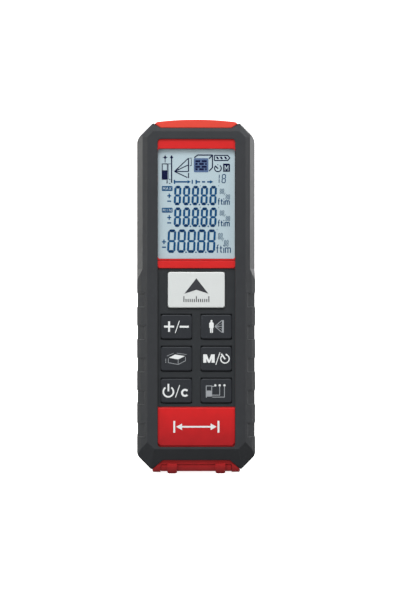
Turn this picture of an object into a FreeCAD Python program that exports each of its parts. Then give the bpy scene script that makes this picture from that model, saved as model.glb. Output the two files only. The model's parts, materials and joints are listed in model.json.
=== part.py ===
import FreeCAD, Part
import os
import re
import Sketcher
from FreeCAD import Placement, Rotation, Vector

# A pocket laser distance meter, standing upright on its folded end piece.
# Millimetres. +X is the user's right, +Y points from the display to the battery door, +Z to the laser end.
# The origin is the middle of the footprint, on the surface that the meter stands on.

SIZES = {
    # rubber overmould: its outline at the side, half way round the slope, and at the front or back face
    "half_width": 22.0, "body_top": 130.1, "body_top_cut": 5.7, "body_base": 1.6, "body_base_cut": 5.1,
    "side_depth": 10.2,
    "mid_half": 20.6, "mid_top": 128.9, "mid_top_cut": 3.9, "mid_base": 4.9, "mid_base_cut": 4.2,
    "mid_depth": 11.9,
    "face_half": 18.2, "face_top": 127.0, "face_top_cut": 2.2, "face_base": 9.2, "face_base_cut": 2.6,
    "face_depth": 14.0,
    "corner_round": 3.5,
    "parting": 0.15,
    # how far tools reach past what they cut, and how far joined pieces sink into each other
    "overcut": 1.0, "overlap": 0.4,
    # opening in the overmould's face, and the notches at both ends for the red caps
    "open_half": 14.45, "open_top": 124.2, "open_base": 9.95, "open_round": 1.2,
    "cap_notch_half": 13.3, "cap_notch_floor": 128.25, "cap_notch_slope": 1.333,
    "foot_notch_half": 12.5, "foot_notch_floor": 5.05, "foot_notch_slope": 1.134,
    "notch_reach": 1.5,
    "neck_half": 12.2, "neck_depth": 9.5,
    # grip notches down both sides, and the steeper sides of the upper half
    "grip_height": 5.4, "grip_pitch": 12.05, "grip_first": 13.55, "grip_count": 5,
    "grip_depth": 0.22, "grip_inner": 19.0, "grip_inner_low": 0.7, "grip_inner_deep": 1.3,
    "grip_inner_step": 0.2,
    "grip_mid_cut": 0.35, "grip_mid_low": 0.15,
    "relief_start": 71.8, "relief_full": 76.0, "relief_shift": 1.45,
    "relief_inner": 19.45, "relief_inner_depth": 14.3, "relief_outer_depth": 5.0,
    # hard shells inside the rubber
    "shell_half": 20.1, "shell_top": 126.9, "shell_top_cut": 3.4, "shell_base": 6.6, "shell_base_cut": 3.2,
    "shell_side": 8.5,
    "shell_face_half": 16.6, "shell_face_top": 125.4, "shell_face_base": 8.8, "shell_face_cut": 1.2,
    "shell_face": 12.6,
    "hollow_half": 16.9, "hollow_top": 124.4, "hollow_base": 9.6, "hollow_cut": 3.0, "hollow_depth": 10.8,
    "top_door_half": 11.5, "top_door_depth": 7.0,
    "bar_front": 13.5, "bar_round": 0.9, "bar_lip": 0.5,
    "upper_bar_base": 121.05, "upper_bar_top": 124.05, "lower_bar_base": 76.35, "lower_bar_top": 79.25,
    "bar_half": 14.38,
    # display
    "view_half": 14.5, "view_base": 79.3, "view_top": 121.0, "view_cut": 0.6,
    "window_front": 13.3, "window_back": 12.35, "window_gap": 0.1,
    "glass_half": 14.3, "glass_base": 79.8, "glass_top": 120.5, "glass_front": 12.25, "glass_back": 10.75,
    "holder_half": 13.85, "holder_base": 78.5, "holder_top": 122.0, "holder_front": 10.7, "holder_back": 8.0,
    "bay_half": 13.2, "bay_base": 80.0, "bay_top": 120.0, "bay_floor": 9.2,
    "light_half": 13.1, "light_base": 82.3, "light_top": 119.8, "light_front": 10.55, "light_back": 9.3,
    "strip_half": 12.5, "strip_base": 80.2, "strip_top": 81.7, "strip_front": 10.6, "strip_back": 7.65,
    "slot_half": 12.7, "slot_top": 81.9,
    # key panel and keys
    "panel_half": 14.38, "panel_base": 24.9, "panel_top": 76.1, "panel_front": 12.95,
    "panel_core_half": 13.8, "panel_core_base": 25.4, "panel_core_top": 75.8, "panel_back": 11.9,
    "pad_open_half": 13.9, "pad_open_base": 25.3, "pad_open_top": 75.9,
    "key_width": 11.5, "key_height": 8.9, "key_round": 0.9, "key_front": 13.45, "key_edge": 0.35,
    "key_gap": 0.15, "key_side_gap": 0.08, "hole_chamfer": 0.3, "key_rim": 0.5,
    "flange_front": 11.75, "flange_back": 11.3,
    "key_column": 7.4, "key_row_top": 54.5, "key_row_pitch": 11.85,
    "big_key_width": 21.1, "big_key_height": 13.25, "big_key_row": 68.2, "big_key_front": 13.7,
    "stem_radius": 1.6, "stem_end": 8.95,
    "dome_radius": 2.3, "dome_crown": 1.3, "dome_height": 0.6,
    "name_half": 14.38, "name_base": 10.4, "name_top": 24.5, "name_front": 13.3, "name_cut": 1.1,
    # main board and what is on it
    "board_half": 16.2, "board_base": 17.5, "board_top": 116.5, "board_front": 7.6, "board_back": 6.6,
    "boss_radius": 1.65, "board_hole": 0.85, "board_shaft": 0.75, "board_head": 1.3,
    "board_head_height": 0.8, "board_screw_end": 9.6,
    "low_screw_x": 14.8, "low_screw_z": 20.5, "mid_screw_x": 15.1, "mid_screw_z": 76.6,
    "chip_height": 1.1, "processor": 8.0, "small_chip": 4.0,
    "processor_z": 46.0, "small_chip_x": 9.0, "small_chip_z": 34.0,
    "buzzer_radius": 4.5, "buzzer_height": 2.4, "buzzer_port": 0.8, "buzzer_x": 8.5, "buzzer_z": 69.0,
    "shield_half": 9.0, "shield_base": 90.0, "shield_top": 108.0, "shield_height": 1.2, "shield_wall": 0.25,
    # case screws
    "case_screw_x": 16.0, "case_screw_low": 14.0, "case_screw_high": 120.0,
    "case_boss": 2.1, "case_post": 1.55,
    "case_shaft": 0.85, "case_head": 1.4, "case_head_height": 1.2, "case_screw_tip": 8.0,
    "case_head_seat": 9.6, "case_well": 1.5,
    # optics
    "optic_y": 1.0, "laser_x": -7.2, "receiver_x": 4.2,
    "chassis_half": 12.5, "chassis_front": 5.2, "chassis_back": 7.2,
    "chassis_base": 84.0, "chassis_top": 121.9,
    "laser_radius": 3.0, "laser_fit": 0.05, "laser_base": 86.0, "laser_top": 117.0, "laser_mouth": 2.0,
    "laser_step": 110.0, "laser_can": 2.4,
    "collimator_top": 118.8, "collimator_gap": 0.2,
    "lens_radius": 5.8, "lens_base": 119.0, "lens_edge": 1.4, "lens_crown": 1.1, "lens_seat": 118.8,
    "cone_wide": 5.2, "cone_narrow": 1.5, "cone_base": 91.0,
    "sensor_radius": 2.4, "sensor_can": 2.0, "sensor_base": 83.9, "sensor_top": 89.9,
    "sensor_fit": 0.15, "sensor_flange": 0.5,
    "filter_radius": 2.4, "filter_base": 90.0, "filter_top": 90.8,
    "sensor_board_left": -1.5, "sensor_board_right": 10.5,
    "sensor_board_base": 82.6, "sensor_board_top": 83.8,
    "sensor_board_half": 5.5,
    # red laser end cap
    "cap_depth": 11.5, "cap_base": 128.3, "cap_low_half": 13.25, "cap_wide_half": 15.4, "cap_wide_z": 129.9,
    "cap_shoulder_half": 14.6, "cap_shoulder_z": 130.6, "cap_top": 131.5, "cap_round": 0.25,
    "cap_neck_half": 11.3, "cap_neck_depth": 6.8, "cap_neck_base": 122.4,
    "laser_port": 2.0, "laser_window_radius": 2.6, "laser_window_base": 129.9,
    "receiver_port": 5.4, "receiver_window_radius": 6.1, "receiver_window_base": 129.7,
    "port_window_top": 130.7,
    # red foot cap, and the end piece hinged under it
    "foot_depth": 10.95, "foot_top": 4.95, "foot_half": 12.4, "foot_tip_z": 1.45, "foot_tip_base": 0.55,
    "foot_channel_half": 13.2, "foot_channel_top": 3.3, "foot_neck_half": 12.0, "foot_neck_depth": 9.3,
    "foot_neck_top": 6.55, "foot_tip_slant": 0.3,
    "hinge_y": 9.6, "hinge_z": 2.0, "barrel_radius": 2.0, "barrel_gap": 0.2,
    "hinge_pin_radius": 0.75, "hinge_pin_fit": 0.05, "hinge_pin_half": 14.7,
    "plate_half": 13.0, "plate_base": 0.85, "plate_top": 3.1, "plate_front": 11.2,
    "tab_x": 8.95, "tab_width": 3.65, "tab_top": 3.7, "tab_front": 12.2, "tab_back": 11.1, "tab_round": 0.8,
    "plate_window_half": 6.0, "plate_window_front": 7.0, "plate_window_back": 4.0,
    "washer_radius": 1.7, "washer_bore": 0.85, "washer_thick": 0.12,
    # batteries
    "tray_half": 13.2, "tray_front": 2.6, "tray_back": 10.7, "tray_base": 10.2, "tray_top": 63.2,
    "cell_bay_half": 11.5, "cell_bay_front": 1.4, "cell_bay_base": 11.6, "cell_bay_top": 61.8,
    "cell_radius": 5.25, "cell_length": 44.5, "cell_nub": 1.0, "cell_nub_radius": 1.9,
    "cell_x": 5.6, "cell_y": 4.1,
    "contact_thick": 0.4, "contact_half": 4.2,
    "spring_radius": 3.2, "spring_wire": 0.5, "spring_pitch": 1.1, "spring_clear": 0.1,
    # battery door
    "door_half": 12.35, "door_front": 12.1, "door_back": 13.3, "door_top": 62.3, "door_round": 0.8,
    "door_pivot_y": 12.2, "door_pivot_z": 12.4, "door_barrel": 1.05,
    "door_pin_radius": 0.6, "door_pin_fit": 0.06, "door_pin_inner": 10.5, "door_pin_outer": 13.6,
    "door_open_half": 12.6, "door_open_base": 11.0, "door_open_top": 62.6,
    "door_scoop_half": 5.0, "door_scoop": 1.4, "door_scoop_depth": 0.6,
    "door_rib_half": 10.6, "door_rib_width": 0.9, "door_rib_front": 11.4, "door_rib_inset": 3.0,
    "seal_half": 12.0, "seal_base": 14.2, "seal_top": 61.9, "seal_front": 11.3,
    "seal_width": 0.7,
    # back: raised panel, label, tripod thread
    "back_half": 14.3, "back_base": 10.1, "back_top": 124.2, "back_face": 13.3, "back_round": 1.2,
    "label_half": 10.8, "label_base": 84.0, "label_top": 112.0, "label_depth": 0.3, "label_thick": 0.2,
    "label_gap": 0.15,
    "tripod_z": 71.5, "tripod_radius": 3.175, "insert_radius": 4.4, "insert_inner": 6.6, "insert_outer": 13.2,
    "insert_floor": 0.6, "insert_boss": 6.2, "insert_boss_start": 5.4,
    # seal between the two shells
    "case_seal_half": 19.4, "case_seal_inner": 18.3, "case_seal_top": 126.2, "case_seal_base": 7.3,
    "case_seal_cut": 3.1, "case_seal_width": 1.1, "case_seal_half_thick": 0.12,
}

NORMALS = {"XZ_Plane": "-Y", "XY_Plane": "+Z", "YZ_Plane": "+X"}
TURNS = {
    "X": Rotation(Vector(0, 1, 0), 90),
    "Y": Rotation(Vector(1, 0, 0), -90),
    "Z": Rotation(),
}
SMALL_KEYS = {
    "plus_minus_key": (-1, 0), "pythagoras_key": (1, 0),
    "area_key": (-1, 1), "timer_key": (1, 1),
    "power_key": (-1, 2), "reference_key": (1, 2),
}

os.makedirs("parts", exist_ok=True)
doc = FreeCAD.newDocument("laser_meter")
sheet = doc.addObject("Spreadsheet::Sheet", "dims")
for row, (alias, number) in enumerate(SIZES.items(), start=1):
    sheet.set(f"A{row}", alias)
    sheet.set(f"B{row}", str(number))
    sheet.setAlias(f"B{row}", alias)
doc.recompute()
scribe = doc.addObject("App::FeaturePython", "scribe")


# ---------------------------------------------------------------- tools

def sized(text):
    """The expression with the sheet's name before every alias in it."""
    return re.sub(r"[a-z_]+", lambda word: f"dims.{word[0]}" if word[0] in SIZES else word[0], str(text))


def number(text):
    """What an expression comes to now."""
    result = scribe.evalExpression(sized(text))
    return float(getattr(result, "Value", result))


def bind(item, **expressions):
    """Bind properties to expressions; a double underscore stands for a dot."""
    for name, text in expressions.items():
        item.setExpression(name.replace("__", "."), sized(text))


def new_body(label):
    body = doc.addObject("PartDesign::Body", label)
    body.Label = label
    return body


def add_loop(profile, points):
    """One closed outline of straight lines, each corner held to the origin by two bound distances."""
    first = profile.GeometryCount
    corners = [Vector(number(across), number(up), 0) for across, up in points]
    for index, corner in enumerate(corners):
        profile.addGeometry(Part.LineSegment(corner, corners[(index + 1) % len(corners)]), False)
    for index in range(len(corners)):
        following = first + (index + 1) % len(corners)
        profile.addConstraint(Sketcher.Constraint("Coincident", first + index, 2, following, 1))
    for index, (across, up) in enumerate(points):
        fix_point(profile, first + index, across, up)


def hold(profile, name, kind, text, *places):
    """A constraint bound to an expression."""
    index = profile.addConstraint(Sketcher.Constraint(kind, *places, number(text)))
    profile.renameConstraint(index, name)
    profile.setExpression(f"Constraints.{name}", sized(text))


def fix_point(profile, piece, across, up, point=1):
    """Hold a point of a line, arc or circle to the origin: its start is 1, its end 2 and its centre 3."""
    hold(profile, f"across_{piece}_{point}", "DistanceX", across, -1, 1, piece, point)
    hold(profile, f"up_{piece}_{point}", "DistanceY", up, -1, 1, piece, point)


def sketch(body, name, plane, at, *loops):
    """A sketch on one of the body's origin planes, moved to the coordinate `at` along that plane's axis."""
    profile = body.newObject("Sketcher::SketchObject", f"{body.Name}_{name}")
    origin_plane = [feature for feature in body.Origin.OriginFeatures if feature.Role == plane][0]
    profile.AttachmentSupport = (origin_plane, [""])
    profile.MapMode = "FlatFace"
    sign = -1 if NORMALS[plane][0] == "-" else 1
    bind(profile, AttachmentOffset__Base__z=f"{sign} * ({at})")
    for points in loops:
        add_loop(profile, points)
    return profile


def ways(side):
    """Towards the parting plane and away from it, in the front half (-1) or the rear half (1)."""
    return ("+Y", "-Y") if side < 0 else ("-Y", "+Y")


def normal_of(profile):
    return NORMALS[profile.AttachmentSupport[0][0].Role]


def pad(body, profile, length, towards):
    feature = body.newObject("PartDesign::Pad", f"{profile.Name}_pad")
    feature.Profile = profile
    bind(feature, Length=length)
    feature.Reversed = towards != normal_of(profile)
    return feature


def pocket(body, profile, length, towards):
    feature = body.newObject("PartDesign::Pocket", f"{profile.Name}_pocket")
    feature.Profile = profile
    bind(feature, Length=length)
    feature.Reversed = towards == normal_of(profile)
    return feature


def loft(body, kind, profiles):
    feature = body.newObject(f"PartDesign::{kind}Loft", f"{profiles[0].Name}_loft")
    feature.Profile = profiles[0]
    feature.Sections = profiles[1:]
    feature.Ruled = True
    return feature


def round_edges(body, radius, chosen, kind="Fillet"):
    """Round or chamfer the edges of the body so far that the test picks."""
    doc.recompute()
    tip = body.Tip
    names = [f"Edge{place}" for place, edge in enumerate(tip.Shape.Edges, start=1) if chosen(edge)]
    feature = body.newObject(f"PartDesign::{kind}", f"{body.Name}_{kind.lower()}")
    feature.Base = (tip, names)
    bind(feature, **{"Radius" if kind == "Fillet" else "Size": radius})
    return feature


def ends_at(edge, axis, *places):
    """Whether all of an edge lies at one of the coordinates."""
    low = getattr(edge.BoundBox, f"{axis}Min")
    high = getattr(edge.BoundBox, f"{axis}Max")
    return any(abs(low - number(place)) < 0.01 and abs(high - number(place)) < 0.01 for place in places)


def runs_along(edge, axis):
    box = edge.BoundBox
    lengths = {"X": box.XLength, "Y": box.YLength, "Z": box.ZLength}
    return all((length > 0.01) == (name == axis) for name, length in lengths.items())


def rectangle(half, base, top):
    return [(f"-({half})", base), (half, base), (half, top), (f"-({half})", top)]


def octagon(half, base, base_cut, top, top_cut):
    """A rectangle about the middle with its corners cut at 45 degrees."""
    right = [
        (f"{half} - {base_cut}", base),
        (half, f"{base} + {base_cut}"),
        (half, f"{top} - {top_cut}"),
        (f"{half} - {top_cut}", top),
    ]
    return right + [(f"-({across})", up) for across, up in reversed(right)]


def trapezoid(half, floor, slope, reach):
    """A notch that opens upwards, or downwards where reach is negative."""
    mouth = f"{half} + {slope} * abs({reach})"
    end = f"{floor} + ({reach})"
    return [(f"-({half})", floor), (half, floor), (mouth, end), (f"-({mouth})", end)]


def set_place(item, at, axis="Z"):
    item.Placement = Placement(Vector(), TURNS[axis])
    bind(item, Placement__Base__x=at[0], Placement__Base__y=at[1], Placement__Base__z=at[2])
    return item


def block(label, low, high):
    item = doc.addObject("Part::Box", label)
    sides = [f"({end}) - ({start})" for start, end in zip(low, high)]
    bind(item, Length=sides[0], Width=sides[1], Height=sides[2])
    return set_place(item, low)


def rod(label, radius, start, length, axis="Z"):
    item = doc.addObject("Part::Cylinder", label)
    bind(item, Radius=radius, Height=length)
    return set_place(item, start, axis)


def cone(label, first, last, start, length, axis="Z"):
    item = doc.addObject("Part::Cone", label)
    bind(item, Radius1=first, Radius2=last, Height=length)
    return set_place(item, start, axis)


def fuse(label, *pieces):
    item = doc.addObject("Part::MultiFuse", label)
    item.Shapes = list(pieces)
    return item


def cut(label, base, *tools):
    item = doc.addObject("Part::Cut", label)
    item.Base = base
    item.Tool = tools[0] if len(tools) == 1 else fuse(f"{label}_tools", *tools)
    return item


def group(label, *pieces):
    """Several separate solids in one node."""
    item = doc.addObject("Part::Compound", label)
    item.Links = list(pieces)
    return item


# ---------------------------------------------------------------- casing

def overmould(label, side):
    """Rubber bumper round one half of the case: side is -1 for the front and 1 for the back."""
    inward, _ = ways(side)
    body = new_body(label)
    face = sketch(body, "face", "XZ_Plane", f"{side} * face_depth",
                  octagon("face_half", "face_base", "face_base_cut", "face_top", "face_top_cut"))
    slope = sketch(body, "slope", "XZ_Plane", f"{side} * mid_depth",
                   octagon("mid_half", "mid_base", "mid_base_cut", "mid_top", "mid_top_cut"))
    outline = octagon("half_width", "body_base", "body_base_cut", "body_top", "body_top_cut")
    edge = sketch(body, "edge", "XZ_Plane", f"{side} * side_depth", outline)
    loft(body, "Additive", [face, slope, edge])
    band = sketch(body, "band", "XZ_Plane", f"{side} * side_depth", outline)
    pad(body, band, "side_depth - parting", inward)
    round_edges(body, "corner_round", lambda edge: runs_along(edge, "Y")
                and ends_at(edge, "X", "half_width", "-half_width"))
    hollow_in_rubber(body, side, inward)
    opening = sketch(body, "opening", "XZ_Plane", f"{side} * face_depth",
                     rectangle("open_half", "open_base", "open_top"))
    pocket(body, opening, "face_depth - side_depth", inward)
    end_notches(body, side)
    grip_notches(body, side)
    upper_relief(body, side)
    round_edges(body, "open_round", lambda edge: runs_along(edge, "Y")
                and ends_at(edge, "X", "open_half", "-open_half"))
    return body


def shell_face_outline():
    return octagon("shell_face_half", "shell_face_base", "shell_face_cut", "shell_face_top", "shell_face_cut")


def hollow_in_rubber(body, side, inward):
    """The space that the hard shell fills."""
    near = sketch(body, "shell_face", "XZ_Plane", f"{side} * shell_face", shell_face_outline())
    outline = octagon("shell_half", "shell_base", "shell_base_cut", "shell_top", "shell_top_cut")
    far = sketch(body, "shell_edge", "XZ_Plane", f"{side} * shell_side", outline)
    loft(body, "Subtractive", [near, far])
    band = sketch(body, "shell_band", "XZ_Plane", f"{side} * shell_side", outline)
    pocket(body, band, "shell_side", inward)


def end_notches(body, side):
    """Sloped notches for the red caps, and the windows that their necks pass through."""
    inward, outward = ways(side)
    notches = sketch(body, "notches", "XZ_Plane", f"{side} * face_depth",
                     trapezoid("cap_notch_half", "cap_notch_floor", "cap_notch_slope", "2 * notch_reach"),
                     trapezoid("foot_notch_half", "foot_notch_floor", "foot_notch_slope", "-3 * notch_reach"))
    pocket(body, notches, "face_depth", inward)
    windows = sketch(body, "windows", "XZ_Plane", "0",
                     rectangle("neck_half", "shell_top - notch_reach", "body_top"),
                     rectangle("neck_half", "body_base", "shell_base + notch_reach"))
    pocket(body, windows, "neck_depth", outward)


def grip_notches(body, side):
    """Five shallow notches down each side."""
    across = [
        ("grip_inner", f"{side} * (face_depth - grip_inner_low)"),
        ("grip_inner + grip_inner_step", f"{side} * (face_depth - grip_inner_deep)"),
        ("mid_half - grip_mid_cut", f"{side} * (mid_depth - grip_mid_low)"),
        ("half_width - grip_depth", f"{side} * side_depth"),
        ("half_width - grip_depth", "0"),
        ("half_width + overcut", "0"),
        ("half_width + overcut", f"{side} * (face_depth + overcut)"),
        ("grip_inner", f"{side} * (face_depth + overcut)"),
    ]
    mirrored = [(f"-({x})", y) for x, y in across]
    notch = sketch(body, "grip", "XY_Plane", "grip_first", across, mirrored)
    first = pocket(body, notch, "grip_height", "+Z")
    rows = body.newObject("PartDesign::LinearPattern", f"{body.Name}_grips")
    rows.Originals = [first]
    rows.Direction = (notch, ["N_Axis"])
    bind(rows, Length="grip_pitch * (grip_count - 1)", Occurrences="grip_count")
    body.Tip = rows


def upper_relief(body, side):
    """Above the grips the sides slope more steeply; the slope runs out downwards over a few millimetres."""
    for hand in (-1, 1):
        name = "left" if hand < 0 else "right"
        start = sketch(body, f"{name}_start", "XY_Plane", "relief_start",
                       relief_outline(hand, side, "relief_shift"))
        full = sketch(body, f"{name}_full", "XY_Plane", "relief_full", relief_outline(hand, side, "0"))
        loft(body, "Subtractive", [start, full])
        rest = sketch(body, f"{name}_rest", "XY_Plane", "relief_full", relief_outline(hand, side, "0"))
        pocket(body, rest, "body_top - relief_full + overcut", "+Z")


def relief_outline(hand, side, shift):
    """What is cut off one side, moved outwards by a shift."""
    outline = [
        ("relief_inner", "relief_inner_depth"), ("half_width", "relief_outer_depth"),
        ("half_width + overcut", "relief_outer_depth"), ("half_width + overcut", "relief_inner_depth"),
    ]
    return [(f"{hand} * ({across} + {shift})", f"{side} * ({depth})") for across, depth in outline]


def shell(label, side):
    """A hard half shell, open at the parting plane."""
    inward, outward = ways(side)
    body = new_body(label)
    face = sketch(body, "face", "XZ_Plane", f"{side} * shell_face", shell_face_outline())
    outline = octagon("shell_half", "shell_base", "shell_base_cut", "shell_top", "shell_top_cut")
    edge = sketch(body, "edge", "XZ_Plane", f"{side} * shell_side", outline)
    loft(body, "Additive", [face, edge])
    band = sketch(body, "band", "XZ_Plane", f"{side} * shell_side", outline)
    pad(body, band, "shell_side - parting", inward)
    hollow = sketch(body, "hollow", "XZ_Plane", "0",
                    octagon("hollow_half", "hollow_base", "hollow_cut", "hollow_top", "hollow_cut"))
    pocket(body, hollow, "hollow_depth", outward)
    neck = sketch(body, "neck", "XZ_Plane", "0", rectangle("top_door_half", "hollow_top - 1", "body_top"))
    pocket(body, neck, "top_door_depth", outward)
    return body


def add_bosses(body, side, name, places, radius, start, length, outward):
    """Round posts on the inside of a shell; start is the depth where they begin, from the parting plane."""
    profile = sketch(body, name, "XZ_Plane", f"{side} * ({start})")
    add_circles(profile, places, radius)
    pad(body, profile, length, outward)


def add_circles(profile, places, radius):
    for across, up in places:
        centre = Vector(number(across), number(up), 0)
        circle = profile.addGeometry(Part.Circle(centre, Vector(0, 0, 1), number(radius)), False)
        fix_point(profile, circle, across, up, point=3)
        hold(profile, f"radius_{circle}", "Radius", radius, circle)


def drill(body, side, name, places, radius, start, length, towards):
    profile = sketch(body, name, "XZ_Plane", f"{side} * ({start})")
    add_circles(profile, places, radius)
    pocket(body, profile, length, towards)


CASE_SCREWS = [(f"{hand} * case_screw_x", height) for hand in (-1, 1)
               for height in ("case_screw_low", "case_screw_high")]
BOARD_SCREWS = [(f"{hand} * {across}", height) for hand in (-1, 1)
                for across, height in (("low_screw_x", "low_screw_z"), ("mid_screw_x", "mid_screw_z"))]


def front_shell():
    """Red shell: bars above and below the display, openings for the display and the key panel."""
    body = shell("front_shell", -1)
    bars = sketch(body, "bars", "XZ_Plane", "-shell_face",
                  rectangle("bar_half", "upper_bar_base", "upper_bar_top"),
                  rectangle("bar_half", "lower_bar_base", "lower_bar_top"))
    pad(body, bars, "bar_front - shell_face", "-Y")
    openings = sketch(body, "openings", "XZ_Plane", "-shell_face",
                      octagon("view_half", "view_base", "view_cut", "view_top", "view_cut"),
                      rectangle("pad_open_half", "pad_open_base", "pad_open_top"))
    pocket(body, openings, "shell_face - hollow_depth + overcut", "+Y")
    add_bosses(body, -1, "case_posts", CASE_SCREWS, "case_post", "parting", "hollow_depth", "-Y")
    add_bosses(body, -1, "board_bosses", BOARD_SCREWS, "boss_radius", "board_front",
               "hollow_depth - board_front + overlap", "-Y")
    drill(body, -1, "case_holes", CASE_SCREWS, "case_shaft", "0", "case_screw_tip", "-Y")
    drill(body, -1, "board_holes", BOARD_SCREWS, "board_shaft", "board_front",
          "board_screw_end - board_front", "-Y")
    round_edges(body, "bar_round", lambda edge: runs_along(edge, "Y")
                and ends_at(edge, "X", "bar_half", "-bar_half")
                and ends_at(edge, "Z", "upper_bar_top", "lower_bar_base"))
    round_edges(body, "bar_lip", lambda edge: runs_along(edge, "X") and ends_at(edge, "Y", "-bar_front")
                and ends_at(edge, "Z", "upper_bar_base", "lower_bar_top"), "Chamfer")
    return body


def rear_shell():
    """Dark shell: raised back panel with the battery doorway, the label's recess and the tripod boss."""
    body = shell("rear_shell", 1)
    raised = sketch(body, "raised", "XZ_Plane", "shell_face", rectangle("back_half", "back_base", "back_top"))
    pad(body, raised, "back_face - shell_face", "+Y")
    round_edges(body, "back_round", lambda edge: runs_along(edge, "Y")
                and ends_at(edge, "X", "back_half", "-back_half"))
    doorway = sketch(body, "doorway", "XZ_Plane", "back_face",
                     rectangle("door_open_half", "door_open_base", "door_open_top"))
    pocket(body, doorway, "back_face - hollow_depth + overcut", "-Y")
    recess = sketch(body, "recess", "XZ_Plane", "back_face",
                    rectangle("label_half", "label_base", "label_top"))
    pocket(body, recess, "label_depth", "-Y")
    scoop = sketch(body, "scoop", "XZ_Plane", "back_face",
                   rectangle("door_scoop_half", "door_open_top - overlap", "door_open_top + door_scoop"))
    pocket(body, scoop, "door_scoop_depth", "-Y")
    add_bosses(body, 1, "case_bosses", CASE_SCREWS, "case_boss", "parting", "hollow_depth", "+Y")
    add_bosses(body, 1, "tripod_boss", [("0", "tripod_z")], "insert_boss", "insert_boss_start",
               "hollow_depth - insert_boss_start + overlap", "+Y")
    drill(body, 1, "tripod_hole", [("0", "tripod_z")], "insert_radius", "back_face",
          "back_face - insert_inner", "-Y")
    drill(body, 1, "case_holes", CASE_SCREWS, "case_shaft", "0", "back_face", "+Y")
    drill(body, 1, "case_wells", CASE_SCREWS, "case_well", "back_face", "back_face - case_head_seat", "-Y")
    pivots = sketch(body, "pivots", "YZ_Plane", "-door_pin_outer")
    add_circles(pivots, [("door_pivot_y", "door_pivot_z")], "door_pin_radius + door_pin_fit")
    pocket(body, pivots, "2 * door_pin_outer", "+X")
    return body


def rear_overmould():
    body = overmould("rear_overmould", 1)
    drill(body, 1, "screw_wells", CASE_SCREWS, "case_well", "face_depth", "face_depth - side_depth", "-Y")
    return body


def case_seal():
    """Flat rubber cord between the shells, open at the top where the laser end cap passes."""
    body = new_body("case_seal")
    outer = sketch(body, "outer", "XZ_Plane", "-case_seal_half_thick",
                   octagon("case_seal_half", "case_seal_base", "case_seal_cut",
                           "case_seal_top", "case_seal_cut"),
                   octagon("case_seal_inner", "case_seal_base + case_seal_width", "case_seal_cut",
                           "case_seal_top - case_seal_width", "case_seal_cut"))
    pad(body, outer, "2 * case_seal_half_thick", "+Y")
    gap = sketch(body, "gap", "XZ_Plane", "-parting",
                 rectangle("top_door_half + parting", "hollow_top", "body_top"))
    pocket(body, gap, "2 * parting", "+Y")
    return body


def case_screws():
    screws = []
    for place, (across, height) in enumerate(CASE_SCREWS):
        shaft = rod(f"case_screw_shaft_{place}", "case_shaft", (across, "-case_screw_tip", height),
                    "case_screw_tip + case_head_seat", "Y")
        head = rod(f"case_screw_head_{place}", "case_head", (across, "case_head_seat", height),
                   "case_head_height", "Y")
        drive = hexagon_tool(f"case_screw_drive_{place}", across, height)
        screws.append(cut(f"case_screw_{place}", fuse(f"case_screw_blank_{place}", shaft, head), drive))
    return group("case_screws", *screws)


def hexagon_tool(label, across, height):
    """A six-sided drive, cut into a screw's head."""
    item = doc.addObject("Part::Prism", label)
    item.Polygon = 6
    bind(item, Circumradius="case_head / 2", Height="case_head_height")
    return set_place(item, (across, "case_head_seat + case_head_height / 2", height), "Y")


# ---------------------------------------------------------------- front panels, keys and display

def key_places():
    places = {"measure_key": ("0", "big_key_row", "big_key_width", "big_key_height", "big_key_front")}
    for label, (hand, row_number) in SMALL_KEYS.items():
        places[label] = (f"{hand} * key_column", f"key_row_top - {row_number} * key_row_pitch",
                         "key_width", "key_height", "key_front")
    return places


def around(across, up, width, height, beside, above):
    """A rectangle about a key's centre, larger than the key beside it and above and below it."""
    left, right = f"{across} - (({width}) / 2 + {beside})", f"{across} + ({width}) / 2 + {beside}"
    low, high = f"{up} - (({height}) / 2 + {above})", f"{up} + ({height}) / 2 + {above}"
    return [(left, low), (right, low), (right, high), (left, high)]


def key_panel():
    body = new_body("key_panel")
    rim = sketch(body, "rim", "XZ_Plane", "-shell_face", rectangle("panel_half", "panel_base", "panel_top"))
    pad(body, rim, "panel_front - shell_face", "-Y")
    core = sketch(body, "core", "XZ_Plane", "-shell_face",
                  rectangle("panel_core_half", "panel_core_base", "panel_core_top"))
    pad(body, core, "shell_face - panel_back", "+Y")
    holes = [around(*place[:4], "key_side_gap", "key_gap") for place in key_places().values()]
    profile = sketch(body, "holes", "XZ_Plane", "-panel_front", *holes)
    pocket(body, profile, "panel_front - panel_back + overcut", "+Y")
    round_edges(body, "hole_chamfer", lambda edge: runs_along(edge, "X")
                and ends_at(edge, "Y", "-panel_front")
                and not ends_at(edge, "Z", "panel_base", "panel_top"), "Chamfer")
    return body


def key(label, across, up, width, height, front):
    """A key cap with the flange that keeps it behind the panel and the stem that presses its dome."""
    body = new_body(label)
    cap = sketch(body, "cap", "XZ_Plane", "-flange_front", around(across, up, width, height, "0", "0"))
    pad(body, cap, f"{front} - flange_front", "-Y")
    round_edges(body, "key_round", lambda edge: runs_along(edge, "Y"))
    round_edges(body, "key_edge", lambda edge: ends_at(edge, "Y", f"-{front}"))
    flange = sketch(body, "flange", "XZ_Plane", "-flange_front",
                    around(across, up, width, height, "key_rim", "key_rim"))
    pad(body, flange, "flange_front - flange_back", "+Y")
    stem = sketch(body, "stem", "XZ_Plane", "-flange_back")
    add_circles(stem, [(across, up)], "stem_radius")
    pad(body, stem, "flange_back - stem_end", "+Y")
    return body


def name_panel():
    body = new_body("name_panel")
    plate = sketch(body, "plate", "XZ_Plane", "-shell_face",
                   [("-name_half + name_cut", "name_base"), ("name_half - name_cut", "name_base"),
                    ("name_half", "name_base + name_cut"), ("name_half", "name_top"),
                    ("-name_half", "name_top"), ("-name_half", "name_base + name_cut")])
    pad(body, plate, "name_front - shell_face", "-Y")
    round_edges(body, "key_edge / 2", lambda edge: ends_at(edge, "Y", "-name_front"))
    return body


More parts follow.
